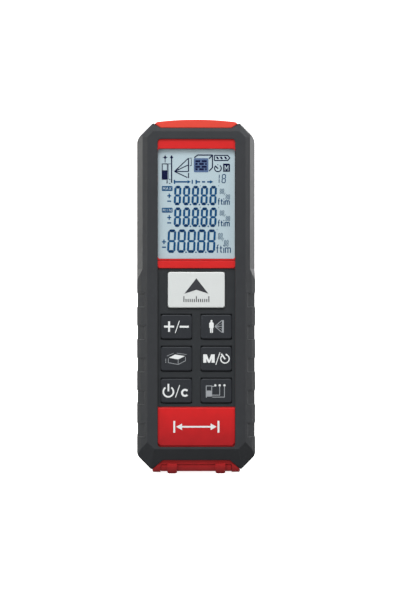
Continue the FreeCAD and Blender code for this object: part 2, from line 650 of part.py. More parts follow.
def display_window():
    body = new_body("display_window")
    pane = sketch(body, "pane", "XZ_Plane", "-window_back",
                  octagon("view_half - window_gap", "view_base + window_gap", "view_cut",
                          "view_top - window_gap", "view_cut"))
    pad(body, pane, "window_front - window_back", "-Y")
    return body


def display_stack():
    """The liquid crystal glass, its light guide, its holder and the elastomer strip that feeds it."""
    glass = block("display_glass", ("-glass_half", "-glass_front", "glass_base"),
                  ("glass_half", "-glass_back", "glass_top"))
    light = block("backlight", ("-light_half", "-light_front", "light_base"),
                  ("light_half", "-light_back", "light_top"))
    strip = block("display_connector", ("-strip_half", "-strip_front", "strip_base"),
                  ("strip_half", "-strip_back", "strip_top"))
    frame = block("holder_blank", ("-holder_half", "-holder_front", "holder_base"),
                  ("holder_half", "-holder_back", "holder_top"))
    bay = block("holder_bay", ("-bay_half", "-holder_front - overcut", "bay_base"),
                ("bay_half", "-bay_floor", "bay_top"))
    slot = block("holder_slot", ("-slot_half", "-holder_front", "bay_base"),
                 ("slot_half", "-holder_back + overcut", "slot_top"))
    return [glass, light, strip, cut("display_holder", frame, bay, slot)]


# ---------------------------------------------------------------- electronics

def main_board():
    blank = block("board_blank", ("-board_half", "-board_front", "board_base"),
                  ("board_half", "-board_back", "board_top"))
    holes = [rod(f"board_hole_{place}", "board_hole", (across, "-board_front - overcut", height),
                 "board_front - board_back + 2 * overcut", "Y")
             for place, (across, height) in enumerate(BOARD_SCREWS)]
    return cut("main_board", blank, *holes)


def board_screws():
    screws = []
    for place, (across, height) in enumerate(BOARD_SCREWS):
        shaft = rod(f"board_shaft_{place}", "board_shaft", (across, "-board_screw_end", height),
                    "board_screw_end - board_back", "Y")
        head = rod(f"board_head_{place}", "board_head", (across, "-board_back", height),
                   "board_head_height", "Y")
        screws.append(fuse(f"board_screw_{place}", shaft, head))
    return group("board_screws", *screws)


def key_domes():
    domes = []
    for label, (across, up, *_) in key_places().items():
        start = (across, "-board_front - dome_height", up)
        domes.append(cone(f"{label}_dome", "dome_crown", "dome_radius", start, "dome_height", "Y"))
    return group("key_domes", *domes)


def board_chips():
    """The processor, and the memory, the tilt sensor and the regulator beside it."""
    chips = [chip("processor_chip", "0", "processor_z", "processor")]
    for name, across, up in (("memory_chip", "-small_chip_x", "processor_z"),
                             ("tilt_sensor", "small_chip_x", "small_chip_z"),
                             ("regulator_chip", "-small_chip_x", "small_chip_z")):
        chips.append(chip(name, across, up, "small_chip"))
    return group("board_chips", *chips)


def chip(label, across, up, side):
    return block(label, (f"{across} - {side} / 2", "-board_back", f"{up} - {side} / 2"),
                 (f"{across} + {side} / 2", "-board_back + chip_height", f"{up} + {side} / 2"))


def buzzer():
    can = rod("buzzer_can", "buzzer_radius", ("buzzer_x", "-board_back", "buzzer_z"), "buzzer_height", "Y")
    port = rod("buzzer_hole", "buzzer_port", ("buzzer_x", "-board_back + buzzer_height / 2", "buzzer_z"),
               "buzzer_height", "Y")
    return cut("buzzer", can, port)


def shield_can():
    outer = block("shield_outer", ("-shield_half", "-board_back", "shield_base"),
                  ("shield_half", "-board_back + shield_height", "shield_top"))
    inner = block("shield_inner",
                  ("-shield_half + shield_wall", "-board_back - overcut", "shield_base + shield_wall"),
                  ("shield_half - shield_wall", "-board_back + shield_height - shield_wall",
                   "shield_top - shield_wall"))
    return cut("shield_can", outer, inner)


# ---------------------------------------------------------------- optics

def optics_chassis():
    """Block with the laser's straight bore and the receiver's light cone, both along the body."""
    blank = block("chassis_blank", ("-chassis_half", "-chassis_front", "chassis_base"),
                  ("chassis_half", "chassis_back", "chassis_top"))
    barrel = rod("chassis_laser_bore", "laser_radius + laser_fit",
                 ("laser_x", "optic_y", "chassis_base - overcut"), "chassis_top - chassis_base + 2 * overcut")
    seat = rod("chassis_lens_seat", "lens_radius + laser_fit", ("receiver_x", "optic_y", "lens_seat"),
               "chassis_top - lens_seat + overcut")
    light = cone("chassis_light_cone", "cone_narrow", "cone_wide", ("receiver_x", "optic_y", "cone_base"),
                 "lens_seat - cone_base")
    pocket_rod = rod("chassis_sensor_pocket", "sensor_radius + sensor_fit",
                     ("receiver_x", "optic_y", "chassis_base - overcut"),
                     "cone_base - chassis_base + overcut")
    return cut("optics_chassis", blank, barrel, fuse("receiver_bore", seat, light, pocket_rod))


def laser_parts():
    """The brass laser module, a stepped barrel with a mouth, and the collimating lens above it."""
    wide = rod("laser_barrel", "laser_radius", ("laser_x", "optic_y", "laser_base"),
               "laser_step - laser_base")
    slim = rod("laser_nose", "laser_can", ("laser_x", "optic_y", "laser_step"), "laser_top - laser_step")
    mouth = rod("laser_mouth_bore", "laser_mouth", ("laser_x", "optic_y", "laser_step"),
                "laser_top - laser_step + overcut")
    module = cut("laser_module", fuse("laser_blank", wide, slim), mouth)
    lens = rod("collimator_lens", "laser_radius", ("laser_x", "optic_y", "laser_top + collimator_gap"),
               "collimator_top - laser_top - collimator_gap")
    return [module, lens]


def receiver_lens():
    """A plano-convex lens: a flat disc with a spherical crown on the side that looks out."""
    body = new_body("receiver_lens")
    profile = body.newObject("Sketcher::SketchObject", "receiver_lens_profile")
    plane = [feature for feature in body.Origin.OriginFeatures if feature.Role == "XZ_Plane"][0]
    profile.AttachmentSupport = (plane, [""])
    profile.MapMode = "FlatFace"
    radius, edge, crown = number("lens_radius"), number("lens_edge"), number("lens_crown")
    sphere = (radius ** 2 + crown ** 2) / (2 * crown)
    axis_top = Vector(0, edge + crown, 0)
    rim = Vector(radius, edge, 0)
    foot = Vector(radius, 0, 0)
    lines = [(Vector(), foot), (foot, rim), (axis_top, Vector())]
    for start, end in lines:
        profile.addGeometry(Part.LineSegment(start, end), False)
    centre = Vector(0, edge + crown - sphere, 0)
    circle = Part.Circle(centre, Vector(0, 0, 1), sphere)
    profile.addGeometry(Part.ArcOfCircle(circle, circle.parameter(rim), circle.parameter(axis_top)), False)
    for joined in ((0, 2, 1, 1), (1, 2, 3, 1), (3, 2, 2, 1), (2, 2, 0, 1)):
        profile.addConstraint(Sketcher.Constraint("Coincident", *joined))
    for line, across, up in ((0, "0", "0"), (1, "lens_radius", "0"), (2, "0", "lens_edge + lens_crown")):
        fix_point(profile, line, across, up)
    hold(profile, "rim_height", "DistanceY", "lens_edge", -1, 1, 1, 2)
    profile.addConstraint(Sketcher.Constraint("Vertical", 1))
    profile.addConstraint(Sketcher.Constraint("PointOnObject", 3, 3, -2))
    turn = body.newObject("PartDesign::Revolution", "receiver_lens_turn")
    turn.Profile = profile
    turn.ReferenceAxis = (profile, ["V_Axis"])
    turn.Angle = 360
    set_place(body, ("receiver_x", "optic_y", "lens_base"))
    return body


def receiver_parts():
    """The filter, the detector in its can, and the small board that carries it."""
    disc = rod("receiver_filter", "filter_radius", ("receiver_x", "optic_y", "filter_base"),
               "filter_top - filter_base")
    can = rod("detector_can", "sensor_can", ("receiver_x", "optic_y", "sensor_base"),
              "sensor_top - sensor_base")
    flange = rod("detector_flange", "sensor_radius", ("receiver_x", "optic_y", "sensor_base"),
                 "sensor_flange")
    board = block("detector_board", ("sensor_board_left", "optic_y - sensor_board_half", "sensor_board_base"),
                  ("sensor_board_right", "optic_y + sensor_board_half", "sensor_board_top"))
    return [disc, fuse("detector", can, flange), board]


def top_cap():
    """Red laser end cap with an arched top, a neck that reaches down to the optics, and two ports."""
    body = new_body("top_cap")
    profile = sketch(body, "head", "XZ_Plane", "-cap_depth")
    corners = [("-cap_low_half", "cap_base"), ("cap_low_half", "cap_base"), ("cap_wide_half", "cap_wide_z"),
               ("cap_shoulder_half", "cap_shoulder_z"), ("-cap_shoulder_half", "cap_shoulder_z"),
               ("-cap_wide_half", "cap_wide_z")]
    points = [Vector(number(across), number(up), 0) for across, up in corners]
    lines = ((0, 1), (1, 2), (2, 3), (4, 5), (5, 0))
    for start, end in lines:
        profile.addGeometry(Part.LineSegment(points[start], points[end]), False)
    crown = Vector(0, number("cap_top"), 0)
    arch = profile.addGeometry(Part.Arc(points[3], crown, points[4]), False)
    for joined in ((0, 2, 1, 1), (1, 2, 2, 1), (3, 2, 4, 1), (4, 2, 0, 1)):
        profile.addConstraint(Sketcher.Constraint("Coincident", *joined))
    right_first = (profile.getPoint(arch, 1) - points[3]).Length < 0.01
    profile.addConstraint(Sketcher.Constraint("Coincident", 2, 2, arch, 1 if right_first else 2))
    profile.addConstraint(Sketcher.Constraint("Coincident", 3, 1, arch, 2 if right_first else 1))
    for line, (start, _) in enumerate(lines):
        fix_point(profile, line, *corners[start])
    fix_point(profile, 2, *corners[3], point=2)
    rise = "(cap_top - cap_shoulder_z)"
    hold(profile, "arch_radius", "Radius", f"(cap_shoulder_half ^ 2 + {rise} ^ 2) / (2 * {rise})", arch)
    pad(body, profile, "2 * cap_depth", "+Y")
    round_edges(body, "cap_round", lambda edge: ends_at(edge, "Y", "-cap_depth", "cap_depth"), "Chamfer")
    neck = sketch(body, "neck", "XZ_Plane", "-cap_neck_depth",
                  rectangle("cap_neck_half", "cap_neck_base", "cap_base + overlap"))
    pad(body, neck, "2 * cap_neck_depth", "+Y")
    for name, place, port, window_radius, window_base in (
            ("laser", "laser_x", "laser_port", "laser_window_radius", "laser_window_base"),
            ("receiver", "receiver_x", "receiver_port", "receiver_window_radius", "receiver_window_base")):
        bore = sketch(body, f"{name}_bore", "XY_Plane", "cap_neck_base - overcut")
        add_circles(bore, [(place, "optic_y")], port)
        pocket(body, bore, "cap_top - cap_neck_base + 2 * overcut", "+Z")
        seat = sketch(body, f"{name}_seat", "XY_Plane", window_base)
        add_circles(seat, [(place, "optic_y")], f"{window_radius} + laser_fit")
        pocket(body, seat, f"cap_top - {window_base} + overcut", "+Z")
    return body


def port_windows():
    laser = rod("laser_window", "laser_window_radius", ("laser_x", "optic_y", "laser_window_base"),
                "port_window_top - laser_window_base")
    receiver = rod("receiver_window", "receiver_window_radius",
                   ("receiver_x", "optic_y", "receiver_window_base"),
                   "port_window_top - receiver_window_base")
    return [laser, receiver]


# ---------------------------------------------------------------- foot and end piece

def bottom_cap():
    """Red foot cap: it fills the notch in the rubber, and its two cheeks carry the end piece's pin."""
    body = new_body("bottom_cap")
    tip = "foot_half + (foot_top - foot_tip_z) * foot_notch_slope"
    right = [("foot_channel_half", "foot_channel_top"), ("foot_channel_half", "foot_tip_base"),
             (f"{tip} - foot_tip_slant", "foot_tip_base"), (tip, "foot_tip_z"), ("foot_half", "foot_top")]
    outline = right + [(f"-({across})", up) for across, up in reversed(right)]
    block_profile = sketch(body, "block", "XZ_Plane", "-foot_depth", outline)
    pad(body, block_profile, "2 * foot_depth", "+Y")
    neck = sketch(body, "neck", "XZ_Plane", "-foot_neck_depth",
                  rectangle("foot_neck_half", "foot_top - overlap", "foot_neck_top"))
    pad(body, neck, "2 * foot_neck_depth", "+Y")
    trough = sketch(body, "trough", "YZ_Plane", "-foot_channel_half")
    add_circles(trough, [("hinge_y", "hinge_z")], "barrel_radius + barrel_gap")
    pocket(body, trough, "2 * foot_channel_half", "+X")
    holes = sketch(body, "pin_holes", "YZ_Plane", "-hinge_pin_half")
    add_circles(holes, [("hinge_y", "hinge_z")], "hinge_pin_radius")
    pocket(body, holes, "2 * hinge_pin_half", "+X")
    return body


def end_piece():
    """Flip-out measuring foot: a plate with a barrel along its rear edge and two tabs along its front."""
    body = new_body("end_piece")
    plate = sketch(body, "plate", "XY_Plane", "plate_base",
                   [("-plate_half", "-plate_front"), ("plate_half", "-plate_front"),
                    ("plate_half", "hinge_y"), ("-plate_half", "hinge_y")],
                   [("-plate_window_half", "-plate_window_front"),
                    ("plate_window_half", "-plate_window_front"),
                    ("plate_window_half", "plate_window_back"),
                    ("-plate_window_half", "plate_window_back")])
    pad(body, plate, "plate_top - plate_base", "+Z")
    barrel = sketch(body, "barrel", "YZ_Plane", "-plate_half")
    add_circles(barrel, [("hinge_y", "hinge_z")], "barrel_radius")
    pad(body, barrel, "2 * plate_half", "+X")
    tabs = []
    for hand in (-1, 1):
        centre = f"{hand} * tab_x"
        tabs.append([(f"{centre} - tab_width / 2", "0"), (f"{centre} + tab_width / 2", "0"),
                     (f"{centre} + tab_width / 2", "tab_top"), (f"{centre} - tab_width / 2", "tab_top")])
    tab_profile = sketch(body, "tabs", "XZ_Plane", "-tab_front", *tabs)
    pad(body, tab_profile, "tab_front - tab_back", "+Y")
    round_edges(body, "tab_round", lambda edge: runs_along(edge, "Y") and ends_at(edge, "Z", "0"))
    bore = sketch(body, "bore", "YZ_Plane", "-plate_half - overcut")
    add_circles(bore, [("hinge_y", "hinge_z")], "hinge_pin_radius + hinge_pin_fit")
    pocket(body, bore, "2 * (plate_half + overcut)", "+X")
    return body


def hinge_parts():
    pin = rod("hinge_pin", "hinge_pin_radius", ("-hinge_pin_half", "hinge_y", "hinge_z"),
              "2 * hinge_pin_half", "X")
    washers = []
    for hand in (-1, 1):
        middle = f"{hand} * (plate_half + foot_channel_half) / 2 - washer_thick / 2"
        disc = rod(f"washer_disc_{hand + 1}", "washer_radius", (middle, "hinge_y", "hinge_z"),
                   "washer_thick", "X")
        hole = rod(f"washer_hole_{hand + 1}", "washer_bore", (f"{middle} - overcut", "hinge_y", "hinge_z"),
                   "washer_thick + 2 * overcut", "X")
        washers.append(cut(f"washer_{hand + 1}", disc, hole))
    return [pin, group("friction_washers", *washers)]


# ---------------------------------------------------------------- batteries and door

def battery_tray():
    blank = block("tray_blank", ("-tray_half", "-tray_front", "tray_base"),
                  ("tray_half", "tray_back", "tray_top"))
    bay = block("tray_bay", ("-cell_bay_half", "-cell_bay_front", "cell_bay_base"),
                ("cell_bay_half", "tray_back + overcut", "cell_bay_top"))
    return cut("battery_tray", blank, bay)


def cell(label, hand, start, nub_up):
    """A round cell; nub_up says which end its positive nub is on."""
    body_start = start if nub_up else f"{start} + cell_nub"
    nub_start = f"{start} + cell_length - cell_nub" if nub_up else start
    can = rod(f"{label}_can", "cell_radius", (f"{hand} * cell_x", "cell_y", body_start),
              "cell_length - cell_nub")
    nub = rod(f"{label}_nub", "cell_nub_radius", (f"{hand} * cell_x", "cell_y", nub_start), "cell_nub")
    return fuse(label, can, nub)


def batteries():
    left = cell("battery_left", -1, "cell_bay_top - contact_thick - cell_length", True)
    right = cell("battery_right", 1, "cell_bay_base + contact_thick", False)
    return [left, right]


def battery_contacts():
    """Four sprung-steel plates, one at each end of each cell."""
    plates = []
    for hand in (-1, 1):
        for end, low in (("low", "cell_bay_base"), ("high", "cell_bay_top - contact_thick")):
            near = (f"{hand} * cell_x - contact_half", "cell_y - contact_half", low)
            far = (f"{hand} * cell_x + contact_half", "cell_y + contact_half", f"{low} + contact_thick")
            plates.append(block(f"contact_{end}_{hand + 1}", near, far))
    return group("battery_contacts", *plates)


def battery_springs():
    """Coil springs of square wire on the negative contacts."""
    space = number("cell_bay_top - cell_bay_base - 2 * contact_thick - cell_length")
    wire, radius, clear = number("spring_wire"), number("spring_radius"), number("spring_clear")
    line = Part.makeLongHelix(number("spring_pitch"), space - wire - 2 * clear, radius)
    corners = [Vector(radius + across * wire / 2, 0, up * wire / 2)
               for across, up in ((-1, -1), (1, -1), (1, 1), (-1, 1), (-1, -1))]
    coil = Part.Wire(line.Edges).makePipeShell([Part.makePolygon(corners)], True, True)
    coils = []
    for hand, low in ((-1, "cell_bay_base + contact_thick"),
                      (1, "cell_bay_base + contact_thick + cell_length")):
        place = Vector(number("cell_x") * hand, number("cell_y"), number(low) + wire / 2 + clear)
        coils.append(coil.translated(place))
    item = doc.addObject("Part::Feature", "battery_springs")
    item.Shape = Part.makeCompound(coils)
    return item


def battery_door():
    """Hinged along its lower edge; the free edge has a scoop for a fingernail."""
    body = new_body("battery_door")
    leaf = sketch(body, "leaf", "XZ_Plane", "door_front", rectangle("door_half", "door_pivot_z", "door_top"))
    pad(body, leaf, "door_back - door_front", "+Y")
    round_edges(body, "door_round", lambda edge: runs_along(edge, "Y") and ends_at(edge, "Z", "door_top"))
    scoop = sketch(body, "scoop", "XZ_Plane", "door_back",
                   rectangle("door_scoop_half", "door_top - door_scoop", "door_top + overcut"))
    pocket(body, scoop, "door_scoop_depth", "-Y")
    barrel = sketch(body, "barrel", "YZ_Plane", "-door_half")
    add_circles(barrel, [("door_pivot_y", "door_pivot_z")], "door_barrel")
    pad(body, barrel, "2 * door_half", "+X")
    low, high = "seal_base + door_rib_inset", "seal_top - door_rib_inset"
    outlines = []
    for left in ("-door_rib_half", "-door_rib_width / 2", "door_rib_half - door_rib_width"):
        right = f"{left} + door_rib_width"
        outlines.append([(left, low), (right, low), (right, high), (left, high)])
    ribs = sketch(body, "ribs", "XZ_Plane", "door_front", *outlines)
    pad(body, ribs, "door_front - door_rib_front", "-Y")
    bore = sketch(body, "bore", "YZ_Plane", "-door_half - overcut")
    add_circles(bore, [("door_pivot_y", "door_pivot_z")], "door_pin_radius")
    pocket(body, bore, "2 * (door_half + overcut)", "+X")
    return body


def door_pins():
    pins = []
    for hand in (-1, 1):
        start = "door_pin_inner" if hand > 0 else "-door_pin_outer"
        pins.append(rod(f"door_pin_{hand + 1}", "door_pin_radius", (start, "door_pivot_y", "door_pivot_z"),
                        "door_pin_outer - door_pin_inner", "X"))
    return group("door_pins", *pins)


def door_seal():
    body = new_body("door_seal")
    ring = sketch(body, "ring", "XZ_Plane", "door_front",
                  rectangle("seal_half", "seal_base", "seal_top"),
                  rectangle("seal_half - seal_width", "seal_base + seal_width", "seal_top - seal_width"))
    pad(body, ring, "door_front - seal_front", "-Y")
    return body


# ---------------------------------------------------------------- back

def tripod_insert():
    """Brass insert with the thread's bore, pressed into its boss."""
    outer = rod("insert_outer_rod", "insert_radius", ("0", "insert_inner", "tripod_z"),
                "insert_outer - insert_inner", "Y")
    inner = rod("insert_bore", "tripod_radius", ("0", "insert_inner + insert_floor", "tripod_z"),
                "insert_outer - insert_inner", "Y")
    return cut("tripod_insert", outer, inner)


def rating_label():
    return block("rating_label",
                 ("-label_half + label_gap", "back_face - label_depth", "label_base + label_gap"),
                 ("label_half - label_gap", "back_face - label_depth + label_thick", "label_top - label_gap"))


# ---------------------------------------------------------------- build, check and write

subparts = [
    front_shell(), overmould("front_overmould", -1), rear_shell(), rear_overmould(),
    case_seal(), case_screws(),
    key_panel(), name_panel(), display_window(), *display_stack(),
    *[key(label, *place) for label, place in key_places().items()],
    main_board(), board_screws(), key_domes(), board_chips(), buzzer(), shield_can(),
    optics_chassis(), *laser_parts(), receiver_lens(), *receiver_parts(), top_cap(), *port_windows(),
    bottom_cap(), end_piece(), *hinge_parts(),
    battery_tray(), *batteries(), battery_contacts(), battery_springs(),
    battery_door(), door_pins(), door_seal(),
    tripod_insert(), rating_label(),
]
doc.recompute()

for item in doc.Objects:
    if "Invalid" in item.State or "Error" in item.State:
        raise RuntimeError(f"{item.Name} failed: {item.State}")
for body in [item for item in subparts if item.TypeId == "PartDesign::Body"]:
    solids = [feature for feature in body.Group if hasattr(feature, "Shape") and feature.Shape.Solids]
    for before, after in zip(solids, solids[1:]):
        removes = after.TypeId in (
            "PartDesign::Pocket", "PartDesign::SubtractiveLoft", "PartDesign::LinearPattern")
        if removes and after.Shape.Volume > before.Shape.Volume - 0.001:
            raise RuntimeError(f"{after.Name} cuts nothing")
for item in subparts:
    if item.Shape.isNull() or not item.Shape.isValid() or not item.Shape.Solids:
        raise RuntimeError(f"{item.Label} has no valid solid")
    item.Shape.exportStep(f"parts/{item.Label}.step")
print(f"{len(subparts)} sub-parts written")
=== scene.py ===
import bmesh
import bpy
import json
import math
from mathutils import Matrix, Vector
from mathutils.bvhtree import BVHTree


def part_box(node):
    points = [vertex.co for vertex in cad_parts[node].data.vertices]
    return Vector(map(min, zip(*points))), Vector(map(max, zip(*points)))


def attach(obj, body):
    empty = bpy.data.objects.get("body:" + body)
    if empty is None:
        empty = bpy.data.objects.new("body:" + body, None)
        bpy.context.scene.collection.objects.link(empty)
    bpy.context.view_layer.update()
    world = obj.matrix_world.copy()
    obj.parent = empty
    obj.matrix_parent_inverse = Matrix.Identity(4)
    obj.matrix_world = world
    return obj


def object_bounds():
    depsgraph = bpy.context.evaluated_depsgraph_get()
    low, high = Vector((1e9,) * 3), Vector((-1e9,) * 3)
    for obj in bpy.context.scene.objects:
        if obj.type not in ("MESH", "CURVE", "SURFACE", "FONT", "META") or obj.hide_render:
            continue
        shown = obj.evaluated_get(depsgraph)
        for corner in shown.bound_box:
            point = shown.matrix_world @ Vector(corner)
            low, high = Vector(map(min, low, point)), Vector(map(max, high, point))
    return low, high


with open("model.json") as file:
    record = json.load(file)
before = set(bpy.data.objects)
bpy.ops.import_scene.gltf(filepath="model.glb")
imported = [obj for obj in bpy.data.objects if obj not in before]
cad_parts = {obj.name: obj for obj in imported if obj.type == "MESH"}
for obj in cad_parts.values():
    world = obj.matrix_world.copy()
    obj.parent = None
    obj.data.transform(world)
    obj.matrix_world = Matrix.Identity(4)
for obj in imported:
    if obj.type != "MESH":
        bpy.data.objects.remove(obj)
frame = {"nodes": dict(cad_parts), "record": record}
NODES = frame["nodes"]
CAD_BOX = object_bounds()
MM = 0.001
HOUSING = "housing"
# prints: how far they reach into their surface, and how much thicker each shape is than the one before it
SUNK, HAIR = 0.01 * MM, 0.0004 * MM


# ---------------------------------------------------------------- flat shapes, lists of (x, z) in millimetres

def rect(left, low, right, high):
    return [(left, low), (right, low), (right, high), (left, high)]


def bar(start, end, width):
    """A straight stroke with square ends."""
    run = Vector(end) - Vector(start)
    side = Vector((-run.y, run.x)).normalized() * width / 2
    corners = ((start, -side), (end, -side), (end, side), (start, side))
    return [tuple(Vector(point) + step) for point, step in corners]


def stroke(points, width):
    """A bent stroke: one bar for each run and a disc on each bend."""
    bars = [bar(start, end, width) for start, end in zip(points, points[1:])]
    return bars + [disc(point, width / 2, 10) for point in points[1:-1]]


def disc(centre, radius, steps=20):
    return [(centre[0] + radius * math.cos(math.tau * step / steps),
             centre[1] + radius * math.sin(math.tau * step / steps)) for step in range(steps)]


def arc_band(centre, radius, width, first, last, steps=24):
    """Part of a ring, between two angles in degrees, as short four-sided pieces."""
    angles = [math.radians(first + (last - first) * step / steps) for step in range(steps + 1)]
    inner, outer = radius - width / 2, radius + width / 2

    def at(angle, distance):
        return (centre[0] + distance * math.cos(angle), centre[1] + distance * math.sin(angle))

    return [[at(a, inner), at(a, outer), at(b, outer), at(b, inner)] for a, b in zip(angles, angles[1:])]


def rounded(left, low, right, high, radius, steps=5):
    """A rectangle with round corners."""
    points = []
    for corner, (x, z) in enumerate(((right - radius, high - radius), (left + radius, high - radius),
                                     (left + radius, low + radius), (right - radius, low + radius))):
        for step in range(steps + 1):
            angle = math.radians(90 * (corner + step / steps))
            points.append((x + radius * math.cos(angle), z + radius * math.sin(angle)))
    return points


def frame_of(left, low, right, high, width):
    """The outline of a rectangle."""
    corners = [(left, low), (right, low), (right, high), (left, high)]
    half = width / 2
    bars = [bar(start, end, width) for start, end in zip(corners, corners[1:] + corners[:1])]
    return bars + [rect(x - half, z - half, x + half, z + half) for x, z in corners]


def arrow_head(tip, direction, length, width):
    """A filled arrowhead that ends at the tip."""
    way = Vector(direction).normalized()
    side = Vector((-way.y, way.x)) * width / 2
    back = Vector(tip) - way * length
    return [tuple(tip), tuple(back + side), tuple(back - side)]


def moved(shapes, across, up):
    return [[(x + across, z + up) for x, z in shape] for shape in shapes]


LETTERS = {
    "M": [[(0, 0), (0, 1), (0.5, 0.35), (1, 1), (1, 0)]],
    "A": [[(0, 0), (0.5, 1), (1, 0)], [(0.22, 0.35), (0.78, 0.35)]],
    "X": [[(0, 0), (1, 1)], [(0, 1), (1, 0)]],
    "I": [[(0.5, 0), (0.5, 1)]],
    "N": [[(0, 0), (0, 1), (1, 0), (1, 1)]],
    "f": [[(0.85, 1), (0.5, 0.95), (0.4, 0.75), (0.4, 0)], [(0.05, 0.62), (0.8, 0.62)]],
    "t": [[(0.4, 0.9), (0.4, 0.1), (0.9, 0.1)], [(0, 0.62), (0.95, 0.62)]],
    "i": [[(0.5, 0), (0.5, 0.62)], [(0.5, 0.82), (0.5, 0.98)]],
    "m": [[(0, 0), (0, 0.62), (0.42, 0.62), (0.5, 0.5), (0.5, 0)],
          [(0.5, 0.62), (0.92, 0.62), (1, 0.5), (1, 0)]],
}


def letters(text, left, low, width, height, gap, line):
    """Stroke letters side by side."""
    shapes = []
    for place, letter in enumerate(text):
        start = left + place * (width + gap)
        for run in LETTERS[letter]:
            shapes += stroke([(start + x * width, low + z * height) for x, z in run], line)
    return shapes


def seven_segment(left, low, width, height, line, slant, lit="abcdefg"):
    """A slanted digit of up to seven segments with pointed ends."""
    half, gap, middle = line / 2, line * 0.16, height / 2
    start_x = 0.6 * half + gap
    end_x = width - start_x
    lying = {"a": height - half, "g": middle, "d": half}
    standing = {"f": (half, middle, height), "b": (width - half, middle, height),
                "e": (half, 0, middle), "c": (width - half, 0, middle)}
    shapes = []
    for name, z in lying.items():
        if name in lit:
            shapes.append([(start_x, z), (start_x + half, z + half), (end_x - half, z + half),
                           (end_x, z), (end_x - half, z - half), (start_x + half, z - half)])
    for name, (x, start, end) in standing.items():
        if name in lit:
            low_end = start + (half + gap if start == 0 else gap)
            high_end = end - (half + gap if end == height else gap)
            shapes.append([(x, low_end), (x + half, low_end + half), (x + half, high_end - half),
                           (x, high_end), (x - half, high_end - half), (x - half, low_end + half)])
    return [[(left + x + slant * z, low + z) for x, z in shape] for shape in shapes]


def ring(inner, outer):
    """The band between two outlines with the same number of points."""
    count = len(inner)
    return [[inner[step], outer[step], outer[(step + 1) % count], inner[(step + 1) % count]]
            for step in range(count)]


def corner_fillet(corner, across, up, radius, steps=5):
    """What a square corner keeps when a round one is cut out of it; across and up point into the opening."""
    x, z = corner
    centre = (x + across * radius, z + up * radius)
    arc = [(centre[0] - across * radius * math.sin(math.pi / 2 * step / steps),
            centre[1] - up * radius * math.cos(math.pi / 2 * step / steps)) for step in range(steps + 1)]
    return [[corner, first, second] for first, second in zip(arc, arc[1:])]


# ---------------------------------------------------------------- pieces that ride on a body

def new_piece(name, points, faces, material, body):
    """A mesh that rides on a body."""
    mesh = bpy.data.meshes.new(name)
    mesh.from_pydata(points, [], faces)
    mesh.materials.append(material)
    piece = bpy.data.objects.new(name, mesh)
    bpy.context.scene.collection.objects.link(piece)
    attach(piece, body)
    return piece


def add_piece(name, points, faces, material, body):
    """A new piece with its faces turned outwards."""
    piece = new_piece(name, [tuple(point) for point in points], faces, material, body)
    shape = bmesh.new()
    shape.from_mesh(piece.data)
    bmesh.ops.recalc_face_normals(shape, faces=shape.faces)
    shape.to_mesh(piece.data)
    shape.free()
    return piece


def print_piece(name, shapes, surface, thickness, material, body):
    """Flat shapes, raised from a surface that faces -Y, as one piece.
    Each is a hair thicker than the one before, so that no two overlapping faces lie in one plane."""
    points, faces = [], []
    for place, shape in enumerate(shapes):
        area = sum(a[0] * b[1] - b[0] * a[1] for a, b in zip(shape, shape[1:] + shape[:1]))
        outline = shape if area > 0 else shape[::-1]
        first, count = len(points), len(outline)
        points += [(x * MM, surface + SUNK, z * MM) for x, z in outline]
        points += [(x * MM, surface - thickness - place * HAIR, z * MM) for x, z in outline]
        faces.append([first + count + step for step in range(count)])
        faces.append([first + step for step in reversed(range(count))])
        for step in range(count):
            following = (step + 1) % count
            faces.append([first + step, first + following, first + count + following, first + count + step])
    return new_piece(name, points, faces, material, body)


def back_print_piece(name, shapes, surface, thickness, material, body):
    """The same on a surface that faces +Y; x runs to the right as seen from behind."""
    points, faces = [], []
    for place, shape in enumerate(shapes):
        first, count = len(points), len(shape)
        points += [(-x * MM, surface - SUNK, z * MM) for x, z in shape]
        points += [(-x * MM, surface + thickness + place * HAIR, z * MM) for x, z in shape]
        faces += [[first + step for step in range(count)], [first + count + step for step in range(count)]]
        for step in range(count):
            following = (step + 1) % count
            faces.append([first + step, first + following, first + count + following, first + count + step])
    return add_piece(name, points, faces, material, body)


def block(name, side, inner, outer, front, rear, low, high, material, body):
    """A box, in millimetres, on one side of the middle plane."""
    points = [(side * x * MM, y * MM, z * MM)
              for x in (inner, outer) for y in (front, rear) for z in (low, high)]
    faces = [(0, 1, 3, 2), (4, 6, 7, 5), (0, 4, 5, 1), (2, 3, 7, 6), (0, 2, 6, 4), (1, 5, 7, 3)]
    add_piece(name, points, [face[::-1] for face in faces] if side < 0 else faces, material, body)


def tube(name, centre, radius, width, proud, low, high, material, body, along="Z", steps=48):
    """A short sleeve or ring, in millimetres, round a line along Z or Y; width is its wall's thickness."""
    profile = [(radius - width, low), (radius + proud, low), (radius + proud, high), (radius - width, high)]
    points, faces = [], []
    for step in range(steps):
        angle = math.tau * step / steps
        for distance, level in profile:
            first, second = distance * math.cos(angle), distance * math.sin(angle)
            place = (first, second, level) if along == "Z" else (first, level, second)
            points.append(tuple((place[axis] + centre[axis]) * MM for axis in range(3)))
        for corner in range(4):
            other, following = (corner + 1) % 4, (step + 1) % steps
            faces.append((4 * step + corner, 4 * step + other, 4 * following + other, 4 * following + corner))
    piece = add_piece(name, points, faces, material, body)
    for face in piece.data.polygons:
        face.use_smooth = abs(face.normal.z if along == "Z" else face.normal.y) < 0.5
    return piece


# ---------------------------------------------------------------- materials

def srgb(red, green, blue):
    """A colour as it looks on a screen, 0 to 255, turned into the linear colour that a shader takes."""
    values = []
    for value in (red, green, blue):
        part = value / 255
        values.append(part / 12.92 if part <= 0.04045 else ((part + 0.055) / 1.055) ** 2.4)
    return (*values, 1.0)


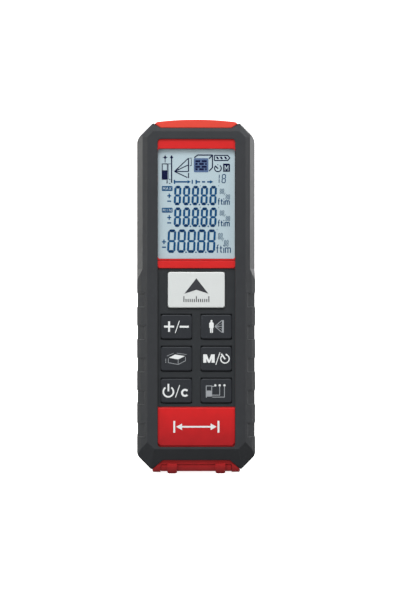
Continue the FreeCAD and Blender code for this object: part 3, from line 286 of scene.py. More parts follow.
def surface_material(name, colour, roughness, mottle=0.06, mottle_size=4.0, grain=0.0, grain_size=0.2,
                     **sockets):
    """A moulded or machined surface: its colour drifts a little, its gloss varies, and it has a fine grain.
    mottle_size and grain_size are in millimetres."""
    roughness_spread, grain_strength = 0.06, 0.6
    material = bpy.data.materials.new(name)
    material.use_nodes = True
    nodes, links = material.node_tree.nodes, material.node_tree.links
    shader = nodes["Principled BSDF"]
    place = nodes.new("ShaderNodeTexCoord")

    def noise(size, detail):
        texture = nodes.new("ShaderNodeTexNoise")
        texture.inputs["Scale"].default_value = 1 / (size * MM)
        texture.inputs["Detail"].default_value = detail
        links.new(place.outputs["Object"], texture.inputs["Vector"])
        return texture.outputs["Fac"]

    drift = nodes.new("ShaderNodeValToRGB")
    for end, position, change in zip(drift.color_ramp.elements, (0.3, 0.7), (-mottle, mottle)):
        end.position = position
        end.color = (*[min(1.0, part * (1 + change)) for part in colour[:3]], 1)
    links.new(noise(mottle_size, 3), drift.inputs["Fac"])
    links.new(drift.outputs["Color"], shader.inputs["Base Color"])
    spread = nodes.new("ShaderNodeMapRange")
    spread.inputs["To Min"].default_value = max(0.0, roughness - roughness_spread)
    spread.inputs["To Max"].default_value = min(1.0, roughness + roughness_spread)
    links.new(noise(mottle_size / 3, 4), spread.inputs["Value"])
    links.new(spread.outputs["Result"], shader.inputs["Roughness"])
    if grain > 0:
        bump = nodes.new("ShaderNodeBump")
        bump.inputs["Strength"].default_value = grain_strength
        bump.inputs["Distance"].default_value = grain * MM
        links.new(noise(grain_size, 5), bump.inputs["Height"])
        links.new(bump.outputs["Normal"], shader.inputs["Normal"])
    for socket, value in sockets.items():
        shader.inputs[socket.replace("_", " ")].default_value = value
    return material


def plastic(name, colour, roughness, grain, grain_size, gloss=0.3, mottle=0.06):
    return surface_material(name, srgb(*colour), roughness, grain=grain, grain_size=grain_size, mottle=mottle,
                            Specular_IOR_Level=gloss)


def ink(name, *colour):
    return surface_material(name, srgb(*colour), 0.5, mottle=0.02, mottle_size=1.0)


def display_ink(name, *colour):
    return surface_material(name, srgb(*colour), 0.4, mottle=0.03, mottle_size=1.0, Specular_IOR_Level=0.1)


def metal(name, colour, roughness, mottle):
    return surface_material(name, srgb(*colour), roughness, Metallic=1.0, mottle=mottle, mottle_size=1.0)


RUBBER = plastic("rubber", (46, 48, 51), 0.58, grain=0.012, grain_size=0.16, mottle=0.05)
# lighter than the rubber: painted highlight along the edges of the grip notches
RIB_HIGHLIGHT = surface_material("rib_painted_highlight", srgb(84, 87, 88), 0.55, grain=0.01, grain_size=0.16, mottle=0.05)
SEAL = surface_material("seal_rubber", srgb(22, 22, 23), 0.7, grain=0.01)
RED = plastic("red_plastic", (198, 30, 30), 0.4, grain=0.005, grain_size=0.12, mottle=0.03)
CAP_RED = plastic("red_cap", (214, 66, 52), 0.38, grain=0.005, grain_size=0.12, gloss=0.35, mottle=0.03)
DARK = plastic("dark_plastic", (42, 44, 48), 0.5, grain=0.012, grain_size=0.14)
PANEL = plastic("panel_plastic", (40, 43, 46), 0.5, grain=0.006, grain_size=0.12)
KEY_RUBBER = plastic("key_rubber", (38, 41, 46), 0.5, grain=0.006, grain_size=0.1)
WHITE_KEY = surface_material("white_key", srgb(206, 210, 209), 0.42, grain=0.003, mottle=0.01)
INK_LIGHT = ink("light_ink", 222, 225, 225)
INK_GREY = ink("grey_ink", 150, 154, 158)
INK_DARK = ink("dark_ink", 42, 44, 50)
LCD = surface_material("lcd_ground", srgb(192, 212, 220), 0.35, mottle=0.012, mottle_size=0.5)
LCD_NAVY = display_ink("lcd_navy", 14, 20, 60)
LCD_BLUE = display_ink("lcd_blue", 24, 80, 126)
LCD_DEEP = display_ink("lcd_deep", 10, 52, 94)
LCD_CUBE = display_ink("lcd_cube", 92, 114, 152)
LCD_FAINT = display_ink("lcd_faint", 78, 104, 126)
LCD_GREY = display_ink("lcd_grey", 34, 70, 108)
BOARD = surface_material("circuit_board", srgb(22, 96, 52), 0.35, mottle=0.1, mottle_size=1.5)
STEEL = metal("steel", (196, 196, 194), 0.3, 0.04)
CHASSIS = surface_material("chassis_metal", srgb(58, 60, 64), 0.45, Metallic=0.8, grain=0.01)
BRASS = metal("brass", (206, 170, 100), 0.3, 0.05)
BLACK = surface_material("black_plastic", srgb(28, 28, 30), 0.5)
GUIDE = surface_material("light_guide", srgb(228, 232, 236), 0.3)
STRIP = surface_material("elastomer", srgb(150, 144, 140), 0.6)
SLEEVE = surface_material("cell_wrap", srgb(46, 48, 54), 0.28, mottle=0.03)
BAND = surface_material("cell_band", srgb(190, 112, 62), 0.26, Metallic=0.6, mottle=0.03)
LABEL = surface_material("label_film", srgb(176, 178, 180), 0.3, Metallic=0.35, mottle=0.03, mottle_size=0.6)


def painted_shade_material(name, top_colour, low_colour, low, high, roughness):
    """A moulded part with painted shade: its colour darkens from one height down to a lower one."""
    material = surface_material(name, top_colour, roughness, grain=0.004, grain_size=0.12,
                                Specular_IOR_Level=0.3)
    nodes, links = material.node_tree.nodes, material.node_tree.links
    shader = nodes["Principled BSDF"]
    drift = shader.inputs["Base Color"].links[0].from_socket
    place = nodes.new("ShaderNodeTexCoord")
    axes = nodes.new("ShaderNodeSeparateXYZ")
    links.new(place.outputs["Object"], axes.inputs["Vector"])
    height = nodes.new("ShaderNodeMapRange")
    height.inputs["From Min"].default_value = low
    height.inputs["From Max"].default_value = high
    links.new(axes.outputs["Z"], height.inputs["Value"])
    fade = nodes.new("ShaderNodeValToRGB")
    share = tuple(part / max(full, 0.001) for part, full in zip(low_colour, top_colour))
    fade.color_ramp.elements[0].color = share
    fade.color_ramp.elements[1].color = (1, 1, 1, 1)
    links.new(height.outputs["Result"], fade.inputs["Fac"])
    blend = nodes.new("ShaderNodeMix")
    blend.data_type = "RGBA"
    blend.blend_type = "MULTIPLY"
    blend.inputs["Factor"].default_value = 1
    links.new(drift, blend.inputs["A"])
    links.new(fade.outputs["Color"], blend.inputs["B"])
    links.new(blend.outputs["Result"], shader.inputs["Base Color"])
    return material


def glass_material(name, colour, alpha, gloss=0.5):
    """A clear or tinted pane that lets the light through to what lies behind it."""
    material = bpy.data.materials.new(name)
    material.use_nodes = True
    shader = material.node_tree.nodes["Principled BSDF"]
    shader.inputs["Base Color"].default_value = colour
    shader.inputs["Roughness"].default_value = 0.05
    shader.inputs["Alpha"].default_value = alpha
    shader.inputs["Specular IOR Level"].default_value = gloss
    return material


# painted shade: the foot and end piece darken towards the floor, where the light from above falls off
FOOT_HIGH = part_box("bottom_cap")[1].z
FOOT_RED_SHADED = painted_shade_material("foot_red_painted_shade", srgb(186, 28, 30), srgb(84, 16, 18), 0.0, 0.8 * FOOT_HIGH, 0.42)
# painted shade: the name panel darkens towards its lower edge, which turns away from the light
NAME_LOW, NAME_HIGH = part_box("name_panel")
NAME_RED_SHADED = painted_shade_material("name_red_painted_shade", srgb(206, 28, 30), srgb(160, 20, 26), NAME_LOW.z, NAME_HIGH.z, 0.4)
WINDOW = glass_material("clear_window", srgb(40, 48, 52), 0.06, gloss=0.2)
LENS = glass_material("lens_glass", srgb(120, 150, 170), 0.35)
FILTER = glass_material("filter_glass", srgb(120, 16, 24), 0.7)

# the material for each of the record's material slots
SLOT_MATERIALS = {
    "rubber": RUBBER, "seal_rubber": SEAL, "red_plastic": RED, "red_cap": CAP_RED, "dark_plastic": DARK,
    "panel_plastic": PANEL, "key_rubber": KEY_RUBBER, "white_key": WHITE_KEY, "clear_window": WINDOW,
    "lcd_glass": LCD, "light_guide": GUIDE, "black_plastic": BLACK, "elastomer": STRIP,
    "circuit_board": BOARD,
    "steel": STEEL, "chassis_metal": CHASSIS, "brass": BRASS, "lens_glass": LENS, "filter_glass": FILTER,
    "cell_wrap": SLEEVE, "label_film": LABEL,
}
NODE_MATERIALS = {"bottom_cap": FOOT_RED_SHADED, "end_piece": FOOT_RED_SHADED, "name_panel": NAME_RED_SHADED}
# width of the softened edges, in millimetres
BEVELS = {
    "front_overmould": 0.25, "rear_overmould": 0.25, "front_shell": 0.15, "rear_shell": 0.15, "top_cap": 0.2,
    "bottom_cap": 0.15, "end_piece": 0.2, "battery_door": 0.15, "display_window": 0.12, "key_panel": 0.08,
}


def finish_cad_nodes():
    """Every CAD node keeps its mesh and takes its own or its slot's material; moulded ones get soft edges."""
    for part in frame["record"]["subparts"]:
        node = NODES[part["node"]]
        node.data.materials.clear()
        node.data.materials.append(NODE_MATERIALS.get(part["node"], SLOT_MATERIALS[part["material_slot"]]))
        width = BEVELS.get(part["node"])
        if width:
            bevel = node.modifiers.new("soft_edges", "BEVEL")
            bevel.width = width * MM
            bevel.segments = 2
            bevel.limit_method = "ANGLE"
            bevel.angle_limit = math.radians(28)
            bevel.harden_normals = True


# ---------------------------------------------------------------- display artwork

def display_corner():
    """The middle of the display's top edge, in millimetres: the artwork is set out from there."""
    low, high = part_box("display_window")
    return (low.x + high.x) / 2 / MM, high.z / MM


def display_piece(name, shapes, material, thickness=0.03, above=0.0):
    """Artwork on the display's glass; above is the thickness of what it is printed over."""
    across, top = display_corner()
    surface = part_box("display_glass")[0].y - above * MM
    return print_piece(name, moved(shapes, across, top), surface, thickness * MM, material, HOUSING)


def reading_row(name, low, left, pitch, width, height, line):
    """Five digits with their points, all segments shown; the end segments are darker and thicker."""
    slant, digits = 0.045, 5
    shapes, dark = [], []
    for place in range(digits):
        shapes += seven_segment(left + place * pitch, low, width, height, line, slant)
        dark += seven_segment(left + place * pitch, low, width, height, line * 1.25, slant, "ad")
    for place in range(1, digits - 1):
        point = left + place * pitch + width + (pitch - width) / 2
        shapes.append(disc((point, low + line * 0.3), line * 0.36, 12))
    display_piece(name, shapes, LCD_BLUE)
    display_piece(f"{name}_ends", dark, LCD_DEEP, 0.05)


def row_extras(name, low, height, sign_x, units_left):
    """The signs left of a row, and the small fraction digits and the units right of it."""
    middle, reach = low + height * 0.47, 0.75
    signs = [bar((sign_x - reach, middle), (sign_x + reach, middle), 0.46),
             bar((sign_x, middle - 0.85), (sign_x, middle + 0.85), 0.46),
             bar((sign_x - reach, middle - 2.0), (sign_x + reach, middle - 2.0), 0.5)]
    display_piece(f"{name}_signs", signs, LCD_BLUE)
    small = 0.28 * height
    fraction = []
    for left, bottom in ((units_left + 0.75, low + 0.57 * height), (units_left + 2.95, low + 0.27 * height)):
        for place in range(2):
            fraction += seven_segment(left + place * 0.9, bottom, 0.74, small, 0.24, 0.05)
    slash = ((units_left + 2.3, low + 0.5 * height), (units_left + 2.95, low + 0.64 * height))
    fraction.append(bar(*slash, 0.18))
    display_piece(f"{name}_fraction", fraction, LCD_FAINT)
    top = low + height
    ticks = [bar((x, top - 0.25), (x + 0.12, top + 0.25), 0.18) for x in (1.4, units_left + 0.35)]
    display_piece(f"{name}_ticks", ticks, LCD_FAINT)
    units_height = 0.34 * height
    spread = height / 7.05
    units = []
    for letter, left, width in (("f", 0.05, 0.9), ("t", 1.15, 0.8), ("i", 2.1, 0.5), ("m", 2.85, 1.5)):
        units += letters(letter, units_left + left * spread, low, width * spread, units_height, 0, 0.36)
    display_piece(f"{name}_units", units, LCD_GREY)


def label_block(name, text, top):
    """A dark block with pale capitals."""
    left, right, low, high = -12.8, -8.8, top - 1.85, top
    display_piece(f"{name}_block", [rounded(left, low, right, high, 0.35)], LCD_BLUE)
    shapes = letters(text, left + 0.45, low + 0.42, 0.78, 1.0, 0.36, 0.15)
    display_piece(f"{name}_letters", shapes, LCD, 0.02, above=0.03)


def readings():
    reading_row("upper_digits", -21.28, -8.45, 3.3, 2.66, 7.23, 0.84)
    row_extras("upper_row", -21.1, 7.05, -10.05, 7.9)
    reading_row("middle_digits", -29.33, -8.45, 3.3, 2.66, 7.23, 0.84)
    row_extras("middle_row", -29.15, 7.05, -10.05, 7.9)
    reading_row("lower_digits", -38.95, -10.9, 3.68, 3.1, 8.7, 0.82)
    row_extras("lower_row", -38.95, 8.7, -12.0, 7.3)
    label_block("maximum", "MAX", -14.15)
    label_block("minimum", "MIN", -22.2)


def reference_icon():
    """The meter with its star of light, and the arrow that says which end the distance starts from."""
    star = [[(-12.55, -3.55), (-11.57, -3.95), (-10.6, -3.55), (-11.57, -3.15)],
            [(-11.57, -4.55), (-11.17, -3.55), (-11.57, -2.5), (-11.97, -3.55)],
            bar((-11.57, -3.6), (-11.57, -5.4), 0.26)]
    outline = frame_of(-12.65, -11.65, -10.75, -5.95, 0.32) + [rect(-12.65, -11.65, -10.75, -8.3)]
    display_piece("meter_icon", star + outline, LCD_NAVY)
    shaft = [bar((-9.17, -12.95), (-9.17, -3.7), 0.46), arrow_head((-9.17, -2.6), (0, 1), 1.2, 1.35)]
    marks = [bar((-10.5, -5.95), (-9.5, -5.95), 0.26), bar((-10.2, -11.7), (-9.6, -11.7), 0.26),
             bar((-10.35, -6.1), (-10.35, -11.6), 0.16), bar((-10.85, -12.0), (-10.85, -13.2), 0.4),
             bar((-10.2, -13.2), (-9.6, -13.2), 0.26)]
    display_piece("reference_arrow", shaft + marks, LCD_NAVY)


def fan_icon():
    """The triangles of an indirect measurement."""
    apex = (-8.1, -8.75)
    rays = [bar(apex, end, 0.36) for end in ((-3.0, -3.9), (-3.1, -6.4), (-3.1, -8.75), (-3.3, -11.0))]
    upright = [bar((-2.88, -3.75), (-2.88, -8.85), 0.42), bar((-2.88, -9.25), (-2.88, -11.2), 0.42)]
    bracket = [bar((-2.5, -3.8), (-1.7, -3.8), 0.26), bar((-1.85, -4.1), (-1.85, -6.4), 0.2),
               bar((-2.4, -6.55), (-1.7, -6.55), 0.28)]
    display_piece("fan_icon", rays + upright + bracket, LCD_NAVY)


def cube_icon():
    """The room, with a pattern of short dashes on its front wall."""
    display_piece("cube_front", [rounded(-0.95, -9.05, 4.5, -3.8, 0.45)], LCD_CUBE)
    edges = stroke([(-0.75, -3.65), (0.5, -2.65), (6.0, -2.65), (6.0, -7.3), (4.75, -8.6)], 0.44)
    edges += [bar((6.0, -2.65), (4.65, -4.05), 0.44)]
    display_piece("cube_edges", edges, LCD_NAVY)
    dashes = []
    for row, height in enumerate((-4.95, -5.95, -7.0, -7.95)):
        spans = ((-0.35, 1.45), (2.0, 3.85)) if row % 2 == 0 else ((-0.35, 0.5), (1.05, 2.8), (3.3, 3.85))
        dashes += [bar((start, height), (end, height), 0.76) for start, end in spans]
    display_piece("cube_dashes", dashes, LCD_NAVY, 0.02, above=0.03)


def status_icons():
    """Battery, timer, memory and its number."""
    outline = [(6.75, -2.75), (11.65, -2.75), (12.45, -3.7), (11.65, -4.65), (6.75, -4.65), (6.75, -2.75)]
    battery = stroke(outline, 0.4)
    upper, lower = -3.22, -4.18
    for x in (7.85, 9.3, 10.9):
        battery.append([(x - 0.62, upper), (x + 0.12, upper), (x + 0.62, lower), (x - 0.12, lower)])
    display_piece("battery_icon", battery, LCD_NAVY)
    clock = arc_band((8.03, -7.55), 1.25, 0.4, -230, 55)
    clock += [bar((7.1, -6.75), (8.1, -7.7), 0.46), disc((8.0, -6.25), 0.2, 8)]
    display_piece("timer_icon", clock, LCD_NAVY)
    memory = [(9.95, -8.85), (12.5, -8.85), (12.5, -6.1), (12.15, -5.8), (9.95, -5.8)]
    display_piece("memory_block", [memory], LCD_NAVY)
    display_piece("memory_letter", letters("M", 10.66, -8.4, 1.15, 1.85, 0, 0.26), LCD, 0.02, above=0.03)
    count = [bar((8.55, -9.95), (8.5, -11.35), 0.3), bar((8.5, -11.6), (8.45, -13.0), 0.3)]
    count += seven_segment(9.35, -13.1, 1.55, 3.4, 0.36, 0.05)
    display_piece("memory_number", count, LCD_GREY)


def distance_arrows():
    """A solid and a dashed arrow, each from a stop bar."""
    height, post = -12.6, 0.75

    def stop(x, width):
        return bar((x, height - post), (x, height + post), width)

    def run(start, end, width):
        return bar((start, height), (end, height), width)

    def head(x):
        return arrow_head((x, height), (1, 0), 1.2, 1.35)

    solid = [stop(-8.1, 0.55), run(-8.0, -3.0, 0.58), head(-2.05), stop(-1.5, 0.46)]
    dashed = [stop(-0.05, 0.55), run(0.1, 1.4, 0.56), run(2.1, 3.3, 0.56), run(4.0, 5.3, 0.56), head(6.3)]
    display_piece("solid_arrow", solid, LCD_BLUE)
    display_piece("dashed_arrow", dashed, LCD_BLUE)


# ---------------------------------------------------------------- trim round the display, keys, grip and back

OPENING_HALF = 14.36  # half the width of the opening in the rubber frame


def display_bezel():
    """Red edge round the display: it closes the gaps above and below the window and rounds its corners."""
    low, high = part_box("display_window")
    left, right, base, top = low.x / MM, high.x / MM, low.z / MM, high.z / MM
    lap, over, under, radius = 0.3, 0.66, 0.14, 1.0
    bar_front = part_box("front_shell")[0].y
    shapes = [rect(left, top - lap, right, top + over), rect(left, base - under, right, base + lap)]
    for across, x in ((1, -OPENING_HALF), (-1, OPENING_HALF)):
        shapes += corner_fillet((x, top - lap), across, -1, radius)
        shapes += corner_fillet((x, base + lap), across, 1, radius)
    print_piece("display_bezel", shapes, low.y, low.y - bar_front - SUNK, RED, HOUSING)


def opening_shade_line():
    """Dark line painted where the rubber meets the face, round the opening: painted shade along the rubber's
    inner edge.
    """
    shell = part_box("front_overmould")[0].y
    half, base, top, corner, width = OPENING_HALF, 9.94, 124.2, 1.2, 0.32
    inner = rounded(-half, base, half, top, corner)
    outer = rounded(-half - width, base - width, half + width, top + width, corner + width)
    print_piece("opening_shade_line", ring(inner, outer), shell + 0.04 * MM, 0.025 * MM, SEAL, HOUSING)


def key_lips():
    """Thin lips of the rubber keypad that close the gaps beside the keys."""
    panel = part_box("key_panel")[0].y
    gap, inset, depth = 0.08, 1.0, 0.12
    shapes = []
    for part in frame["record"]["subparts"]:
        if part["node"].endswith("_key"):
            low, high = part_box(part["node"])
            for left in (low.x / MM - gap, high.x / MM + 0.01):
                shapes.append(rect(left, low.z / MM + inset, left + gap - 0.01, high.z / MM - inset))
    print_piece("key_lips", shapes, panel + 2 * depth * MM, depth * MM, PANEL, HOUSING)


def foot_seals():
    """Thin strips on the end piece's ends that close the gaps beside it."""
    end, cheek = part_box("end_piece")[1].x / MM, 13.17
    front, rear, base, top = -9.5, 5, 0.9, 3
    for side, name in ((-1, "left"), (1, "right")):
        block(f"foot_seal_{name}", side, end, cheek, front, rear, base, top, SEAL, "end_piece")


def seam_linings():
    """Dark strips that close the parting line down both sides."""
    inner, outer, half_gap, base, top = 19.45, 20.6, 0.149, 12, 118
    for side, name in ((-1, "left"), (1, "right")):
        block(f"seam_lining_{name}", side, inner, outer, -half_gap, half_gap, base, top, SEAL, HOUSING)


def grip_ribs():
    """Fine ribs along both edges of every grip notch, from the face round to the side; they stand a little
    proud, and their lighter colour is painted highlight.
    """
    first, pitch, height, count = 13.55, 12.05, 5.4, 5
    inset, width, proud = 0.12, 0.16, 0.1
    start, end, steps = math.radians(-58), math.radians(-4), 14
    centre_x, centre_y, reach = 12, 1, 30
    section = ((-0.05, -0.5), (proud, -0.3), (proud, 0.3), (-0.05, 0.5))
    trees = {node: BVHTree.FromPolygons([vertex.co for vertex in NODES[node].data.vertices],
                                        [face.vertices for face in NODES[node].data.polygons])
             for node in ("front_overmould", "rear_overmould")}
    for node, facing in (("front_overmould", 1), ("rear_overmould", -1)):
        points, faces = [], []
        for side in (-1, 1):
            for notch in range(count):
                for z in (first + notch * pitch + inset, first + notch * pitch + height - inset):
                    begin = len(points)
                    for step in range(steps + 1):
                        angle = start + (end - start) * step / steps
                        way = Vector((side * math.cos(angle), facing * math.sin(angle), 0))
                        axis = Vector((side * centre_x * MM, -facing * centre_y * MM, z * MM))
                        hit, normal, _, _ = trees[node].ray_cast(axis + way * reach * MM, -way)
                        if hit is None:
                            continue
                        normal = Vector((normal.x, normal.y, 0)).normalized()
                        for out, up in section:
                            points.append(hit + normal * out * MM + Vector((0, 0, up * width * MM)))
                    rows = (len(points) - begin) // 4
                    for row in range(rows - 1):
                        base = begin + 4 * row
                        for corner in range(4):
                            other = (corner + 1) % 4
                            faces.append((base + corner, base + other, base + 4 + other, base + 4 + corner))
                    faces.append((begin, begin + 3, begin + 2, begin + 1))
                    last = begin + 4 * (rows - 1)
                    faces.append((last, last + 1, last + 2, last + 3))
        add_piece(f"{node}_ribs", points, faces, RIB_HIGHLIGHT, HOUSING)


def battery_bands():
    """A metallic band round each cell's wrap, near its button end."""
    button, length = 1.5, 13
    for node, button_up in (("battery_left", True), ("battery_right", False)):
        low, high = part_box(node)
        centre = ((low.x + high.x) / 2 / MM, (low.y + high.y) / 2 / MM, 0)
        radius = (high.x - low.x) / 2 / MM
        start = high.z / MM - button - length if button_up else low.z / MM + button
        tube(f"{node}_band", centre, radius, 0.05, 0.03, start, start + length, BAND, HOUSING)


def tripod_rings():
    """Crests of the tripod thread inside the brass insert."""
    low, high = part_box("tripod_insert")
    centre = ((low.x + high.x) / 2 / MM, 0, (low.z + high.z) / 2 / MM)
    pitch, bore, first, half_crest = 1.27, 2.62, 0.9, 0.16
    for turn in range(4):
        place = (centre[0], high.y / MM - first - turn * pitch, centre[2])
        tube(f"tripod_crest_{turn}", place, bore, 0.28, 0.1, -half_crest, half_crest, BRASS, HOUSING,
             along="Y")


def label_rules():
    """Plain ruled lines, bars and a ring on the rating label, with no words."""
    low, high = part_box("rating_label")
    left, right, base, top = low.x / MM, high.x / MM, low.z / MM, high.z / MM
    margin, line, thickness = 0.9, 0.22, 0.02 * MM
    lower_rule, upper_rule = base + 8.5, base + 17.5
    inner_left, inner_right = left + margin, right - margin
    start = inner_left + 1.2
    rules = frame_of(inner_left, base + margin, inner_right, top - margin, line)
    rules += [rect(inner_left, height, inner_right, height + line) for height in (lower_rule, upper_rule)]
    rules.append(rect(-line / 2, base + margin, line / 2, lower_rule))
    back_print_piece("label_rules", rules, high.y, thickness, INK_DARK, HOUSING)
    bars = []
    for row, height in enumerate((top - 3.2, top - 4.9, top - 6.6, top - 8.3)):
        bars.append(rect(start, height, inner_right - 1.4 - 2.3 * (row % 3), height + 0.7))
    for row, height in enumerate((base + 15.0, base + 12.9, base + 10.8)):
        bars.append(rect(start, height, inner_right - 7.0 + 1.9 * row, height + 0.6))
    bars += [rect(start, base + 2.4 + 1.5 * row, -1.4, base + 2.9 + 1.5 * row) for row in range(4)]
    centre = (5, base + 4.7)
    bars += ring(disc(centre, 1.7, 28), disc(centre, 2.1, 28))
    back_print_piece("label_bars", bars, high.y, thickness, INK_DARK, HOUSING)


# ---------------------------------------------------------------- key symbols and the name panel's mark

SLASH_WIDTH = 0.3


def key_symbol(key, shapes, material, part="symbol"):
    """Print on a key's face, set out from the key's centre."""
    low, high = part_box(key)
    across, up = (low.x + high.x) / 2 / MM, (low.z + high.z) / 2 / MM
    print_piece(f"{key}_{part}", moved(shapes, across, up), low.y, 0.04 * MM, material, key)


def measure_symbol():
    """A filled arrowhead over a short ruler."""
    arrow = [[(0, 4.3), (4.45, -1.4), (0, 0.05)], [(0, 4.3), (0, 0.05), (-4.45, -1.4)]]
    ruler = []
    for place in range(-6, 7):
        height = 2.15 if place % 6 == 0 else 1.15
        ruler.append(bar((place * 0.77, -4.5), (place * 0.77, -4.5 + height), 0.34))
    key_symbol("measure_key", arrow + ruler, INK_DARK)


def plus_minus_symbol():
    plus = [bar((-4.6, 0.1), (-0.85, 0.1), 0.72), bar((-2.72, -1.85), (-2.72, 2.05), 0.72)]
    slash = [bar((-0.45, -2.3), (1.1, 2.25), SLASH_WIDTH)]
    minus = [bar((1.2, 0.05), (4.6, 0.05), 0.72)]
    key_symbol("plus_minus_key", plus + slash + minus, INK_LIGHT)


def pythagoras_symbol():
    head = disc((-1.8, 2.15), 0.4, 14)
    torso = [(-2.25, 1.75), (-1.35, 1.75), (-0.95, 1.3), (-0.98, -0.35), (-1.25, -0.4), (-1.25, -2.2),
             (-1.72, -2.2), (-1.76, -0.6), (-1.84, -0.6), (-1.88, -2.2), (-2.35, -2.2), (-2.35, -0.4),
             (-2.62, -0.35), (-2.65, 1.3)]
    key_symbol("pythagoras_key", [head, torso], INK_LIGHT, "person")
    eye = (-0.55, 0.15)
    sides = [bar(eye, (2.15, 2.45), 0.26), bar(eye, (2.15, 0.15), 0.2), bar(eye, (2.15, -2.1), 0.26),
             bar((-0.2, 0.15), (2.1, 1.2), 0.12), bar((-0.2, 0.15), (2.1, -0.9), 0.12)]
    wall = [rect(2.1, -2.15, 2.78, 2.45)]
    key_symbol("pythagoras_key", sides + wall, INK_GREY, "triangle")


def area_symbol():
    lid = [(-2.8, 0.4), (0.65, -0.22), (3.2, 1.02), (-0.5, 1.6)]
    key_symbol("area_key", [lid], INK_LIGHT, "lid")
    walls = stroke([(-3.0, 0.2), (-3.0, -1.42), (0.65, -2.1), (3.35, -0.72), (3.35, 0.75)], 0.2)
    walls += [bar((0.65, -0.4), (0.65, -2.1), 0.2)]
    rulers = [bar((-3.5, 1.05), (-1.05, 2.1), 0.16), bar((0.15, 2.12), (3.8, 1.6), 0.16)]
    rulers += [bar((-3.95, height), (-3.95, height - 0.3), 0.3) for height in (0.0, -0.55, -1.1)]
    key_symbol("area_key", walls + rulers, INK_GREY, "box")


def timer_symbol():
    left, right, low, high, post = -4.85, -0.6, -1.45, 1.65, 1.15
    middle = (left + right) / 2
    foot = [(middle + 0.35, low), (middle - 0.35, low)]
    letter = [rect(left, low, left + post, high), rect(right - post, low, right, high),
              [(left + post * 0.4, high), (left + post * 1.15, high), *foot],
              [(right - post * 1.15, high), (right - post * 0.4, high), *foot]]
    slash = [bar((-0.2, -2.2), (1.35, 2.35), SLASH_WIDTH)]
    dial = arc_band((3.2, 0.0), 1.58, 0.42, -235, 60)
    hand = [bar((1.85, 1.85), (3.3, -0.15), 0.55), disc((3.75, 1.5), 0.34, 12)]
    key_symbol("timer_key", letter + slash + dial + hand, INK_LIGHT)


def power_symbol():
    circle = arc_band((-2.97, -0.35), 1.88, 0.6, -235, 55)
    switch = [bar((-2.97, -0.2), (-2.97, 2.6), 0.62)]
    slash = [bar((-0.35, -2.45), (1.2, 2.1), SLASH_WIDTH)]
    letter = arc_band((3.2, -0.75), 1.12, 0.72, 40, 320)
    key_symbol("power_key", circle + switch + slash + letter, INK_LIGHT)


def reference_symbol():
    body = frame_of(-3.75, -2.0, -1.7, 1.8, 0.28)
    body += [rect(-3.75, -2.0, -1.7, 0.05), bar((-3.7, -2.0), (-3.7, -2.5), 0.35)]
    paths = stroke([(-1.6, 1.6), (-0.9, 1.62), (-0.5, 1.9)], 0.26)
    paths += stroke([(-1.6, -1.62), (1.25, -1.62), (1.25, 1.9)], 0.26)
    paths += stroke([(-1.6, -2.35), (3.0, -2.35), (3.0, 1.9)], 0.26)
    key_symbol("reference_key", body + paths, INK_GREY, "meter")
    key_symbol("reference_key", [disc((x, 2.0), 0.42, 14) for x in (-0.4, 1.25, 3.0)], INK_LIGHT, "starts")


def name_mark():
    """A plain dimension sign in place of a name."""
    low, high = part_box("name_panel")
    across, up = (low.x + high.x) / 2 / MM, (low.z + high.z) / 2 / MM
    half, post, head = 8.2, 2.2, 2.2
    sign = [bar((side * half, -post), (side * half, post), 0.7) for side in (-1, 1)]
    sign.append(bar((-half + head, 0), (half - head, 0), 0.62))
    sign += [arrow_head((side * (half - 0.7), 0), (side, 0), head, 2.4) for side in (-1, 1)]
    print_piece("name_panel_mark", moved(sign, across, up), low.y, 0.04 * MM, INK_LIGHT, HOUSING)


# ---------------------------------------------------------------- studio

def studio():
    """White room, soft light from above and the left, rim light from behind on both sides, and the camera."""
    scene = bpy.context.scene
    scene.view_settings.view_transform = "Standard"
    scene.view_settings.look = "None"
    world = bpy.data.worlds.new("studio")
    scene.world = world
    world.use_nodes = True
    background = world.node_tree.nodes["Background"]
    background.inputs["Color"].default_value = (1, 1, 1, 1)
    background.inputs["Strength"].default_value = 0.33
    room()
    area_light("top_light", (-0.05, -0.5, 0.85), 0.4, 8.3)
    area_light("fill_light", (-0.5, -0.8, 0.35), 0.6, 2.2)
    area_light("right_rim", (0.75, 0.5, 0.42), 0.4, 4.8)
    area_light("left_rim", (-0.8, 0.4, 0.4), 0.4, 1.6, (1, 0.96, 0.7))
    camera()


def room():
    """Round floor, and a low curved wall that is open towards the front; both glow, so that they stay white.
    Only the wall lights the object: the floor would light it from below."""
    radius, bend, height, opening = 1.7, 0.35, 0.95, math.radians(42)
    sectors = 72
    edge = [(x, y, 0) for x, y in disc((0, 0), 3 * radius, sectors)]
    floor = stage_piece("floor", edge, [tuple(range(sectors))], smooth=False)
    floor.visible_diffuse = False
    floor.visible_glossy = False
    profile = [(radius - bend, 0.0)]
    for step in range(1, 9):
        angle = math.radians(90 * step / 8)
        profile.append((radius - bend + bend * math.sin(angle), bend - bend * math.cos(angle)))
    profile.append((radius, height))
    points, faces = [], []
    for sector in range(sectors + 1):
        angle = -math.pi / 2 + opening + (math.tau - 2 * opening) * sector / sectors
        points += [(distance * math.cos(angle), distance * math.sin(angle), z) for distance, z in profile]
    rows = len(profile)
    for sector in range(sectors):
        for step in range(rows - 1):
            first = sector * rows + step
            faces.append((first, first + 1, first + rows + 1, first + rows))
    stage_piece("wall", points, faces, smooth=True)
    backdrop()


def backdrop():
    """Tall white cylinder behind everything: it fills the view on the open side and lights nothing."""
    radius, base, top, sectors = 4.8, -4.0, 9.0, 72
    points = [(x, y, z) for z in (base, top) for x, y in disc((0, 0), radius, sectors)]
    faces = [(step, (step + 1) % sectors, sectors + (step + 1) % sectors, sectors + step)
             for step in range(sectors)]
    piece = stage_piece("backdrop", points, faces, smooth=True)
    for ray in ("diffuse", "glossy", "transmission", "volume_scatter", "shadow"):
        setattr(piece, f"visible_{ray}", False)


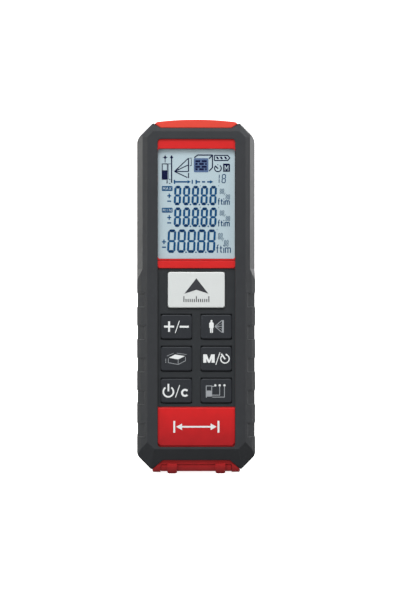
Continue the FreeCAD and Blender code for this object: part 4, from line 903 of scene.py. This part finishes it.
def stage_piece(name, points, faces, smooth):
    mesh = bpy.data.meshes.new(name)
    mesh.from_pydata(points, [], faces)
    for face in mesh.polygons:
        face.use_smooth = smooth
    piece = bpy.data.objects.new(name, mesh)
    bpy.context.scene.collection.objects.link(piece)
    paint = bpy.data.materials.get("studio_paint")
    if paint is None:
        paint = bpy.data.materials.new("studio_paint")
        paint.use_nodes = True
        shader = paint.node_tree.nodes["Principled BSDF"]
        shader.inputs["Base Color"].default_value = (0.9, 0.9, 0.9, 1)
        shader.inputs["Roughness"].default_value = 0.9
        shader.inputs["Specular IOR Level"].default_value = 0.1
        shader.inputs["Emission Color"].default_value = (1, 1, 1, 1)
        shader.inputs["Emission Strength"].default_value = 0.93
    mesh.materials.append(paint)
    return piece


def area_light(name, place, size, power, colour=(1, 1, 1)):
    data = bpy.data.lights.new(name, "AREA")
    data.shape = "SQUARE"
    data.size = size
    data.energy = power
    data.color = colour
    light = bpy.data.objects.new(name, data)
    bpy.context.scene.collection.objects.link(light)
    light.location = place
    low, high = CAD_BOX
    light.rotation_euler = ((low + high) / 2 - Vector(place)).to_track_quat("-Z", "Y").to_euler()


def camera():
    """Straight on to the display, a little from the left, with a long lens."""
    low, high = CAD_BOX
    data = bpy.data.cameras.new("camera")
    data.lens = 150
    data.sensor_width = 36
    view = bpy.data.objects.new("camera", data)
    bpy.context.scene.collection.objects.link(view)
    filled = 0.59  # share of the view's height that the object takes up
    cap_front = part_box("top_cap")[0].y
    distance = (high.z - low.z) / filled * data.lens / data.sensor_width - cap_front
    turn = math.radians(-1.3)
    back = Vector((math.sin(turn), -math.cos(turn), 0))
    aim = (low + high) / 2 + Vector((0.00165, 0, -0.0013))
    view.location = aim + back * distance
    view.rotation_euler = (-back).to_track_quat("-Z", "Y").to_euler()
    bpy.context.scene.camera = view


finish_cad_nodes()
readings()
reference_icon()
fan_icon()
cube_icon()
status_icons()
distance_arrows()
display_bezel()
opening_shade_line()
key_lips()
foot_seals()
seam_linings()
grip_ribs()
battery_bands()
tripod_rings()
label_rules()
measure_symbol()
plus_minus_symbol()
pythagoras_symbol()
area_symbol()
timer_symbol()
power_symbol()
reference_symbol()
name_mark()
studio()

bpy.context.view_layer.update()
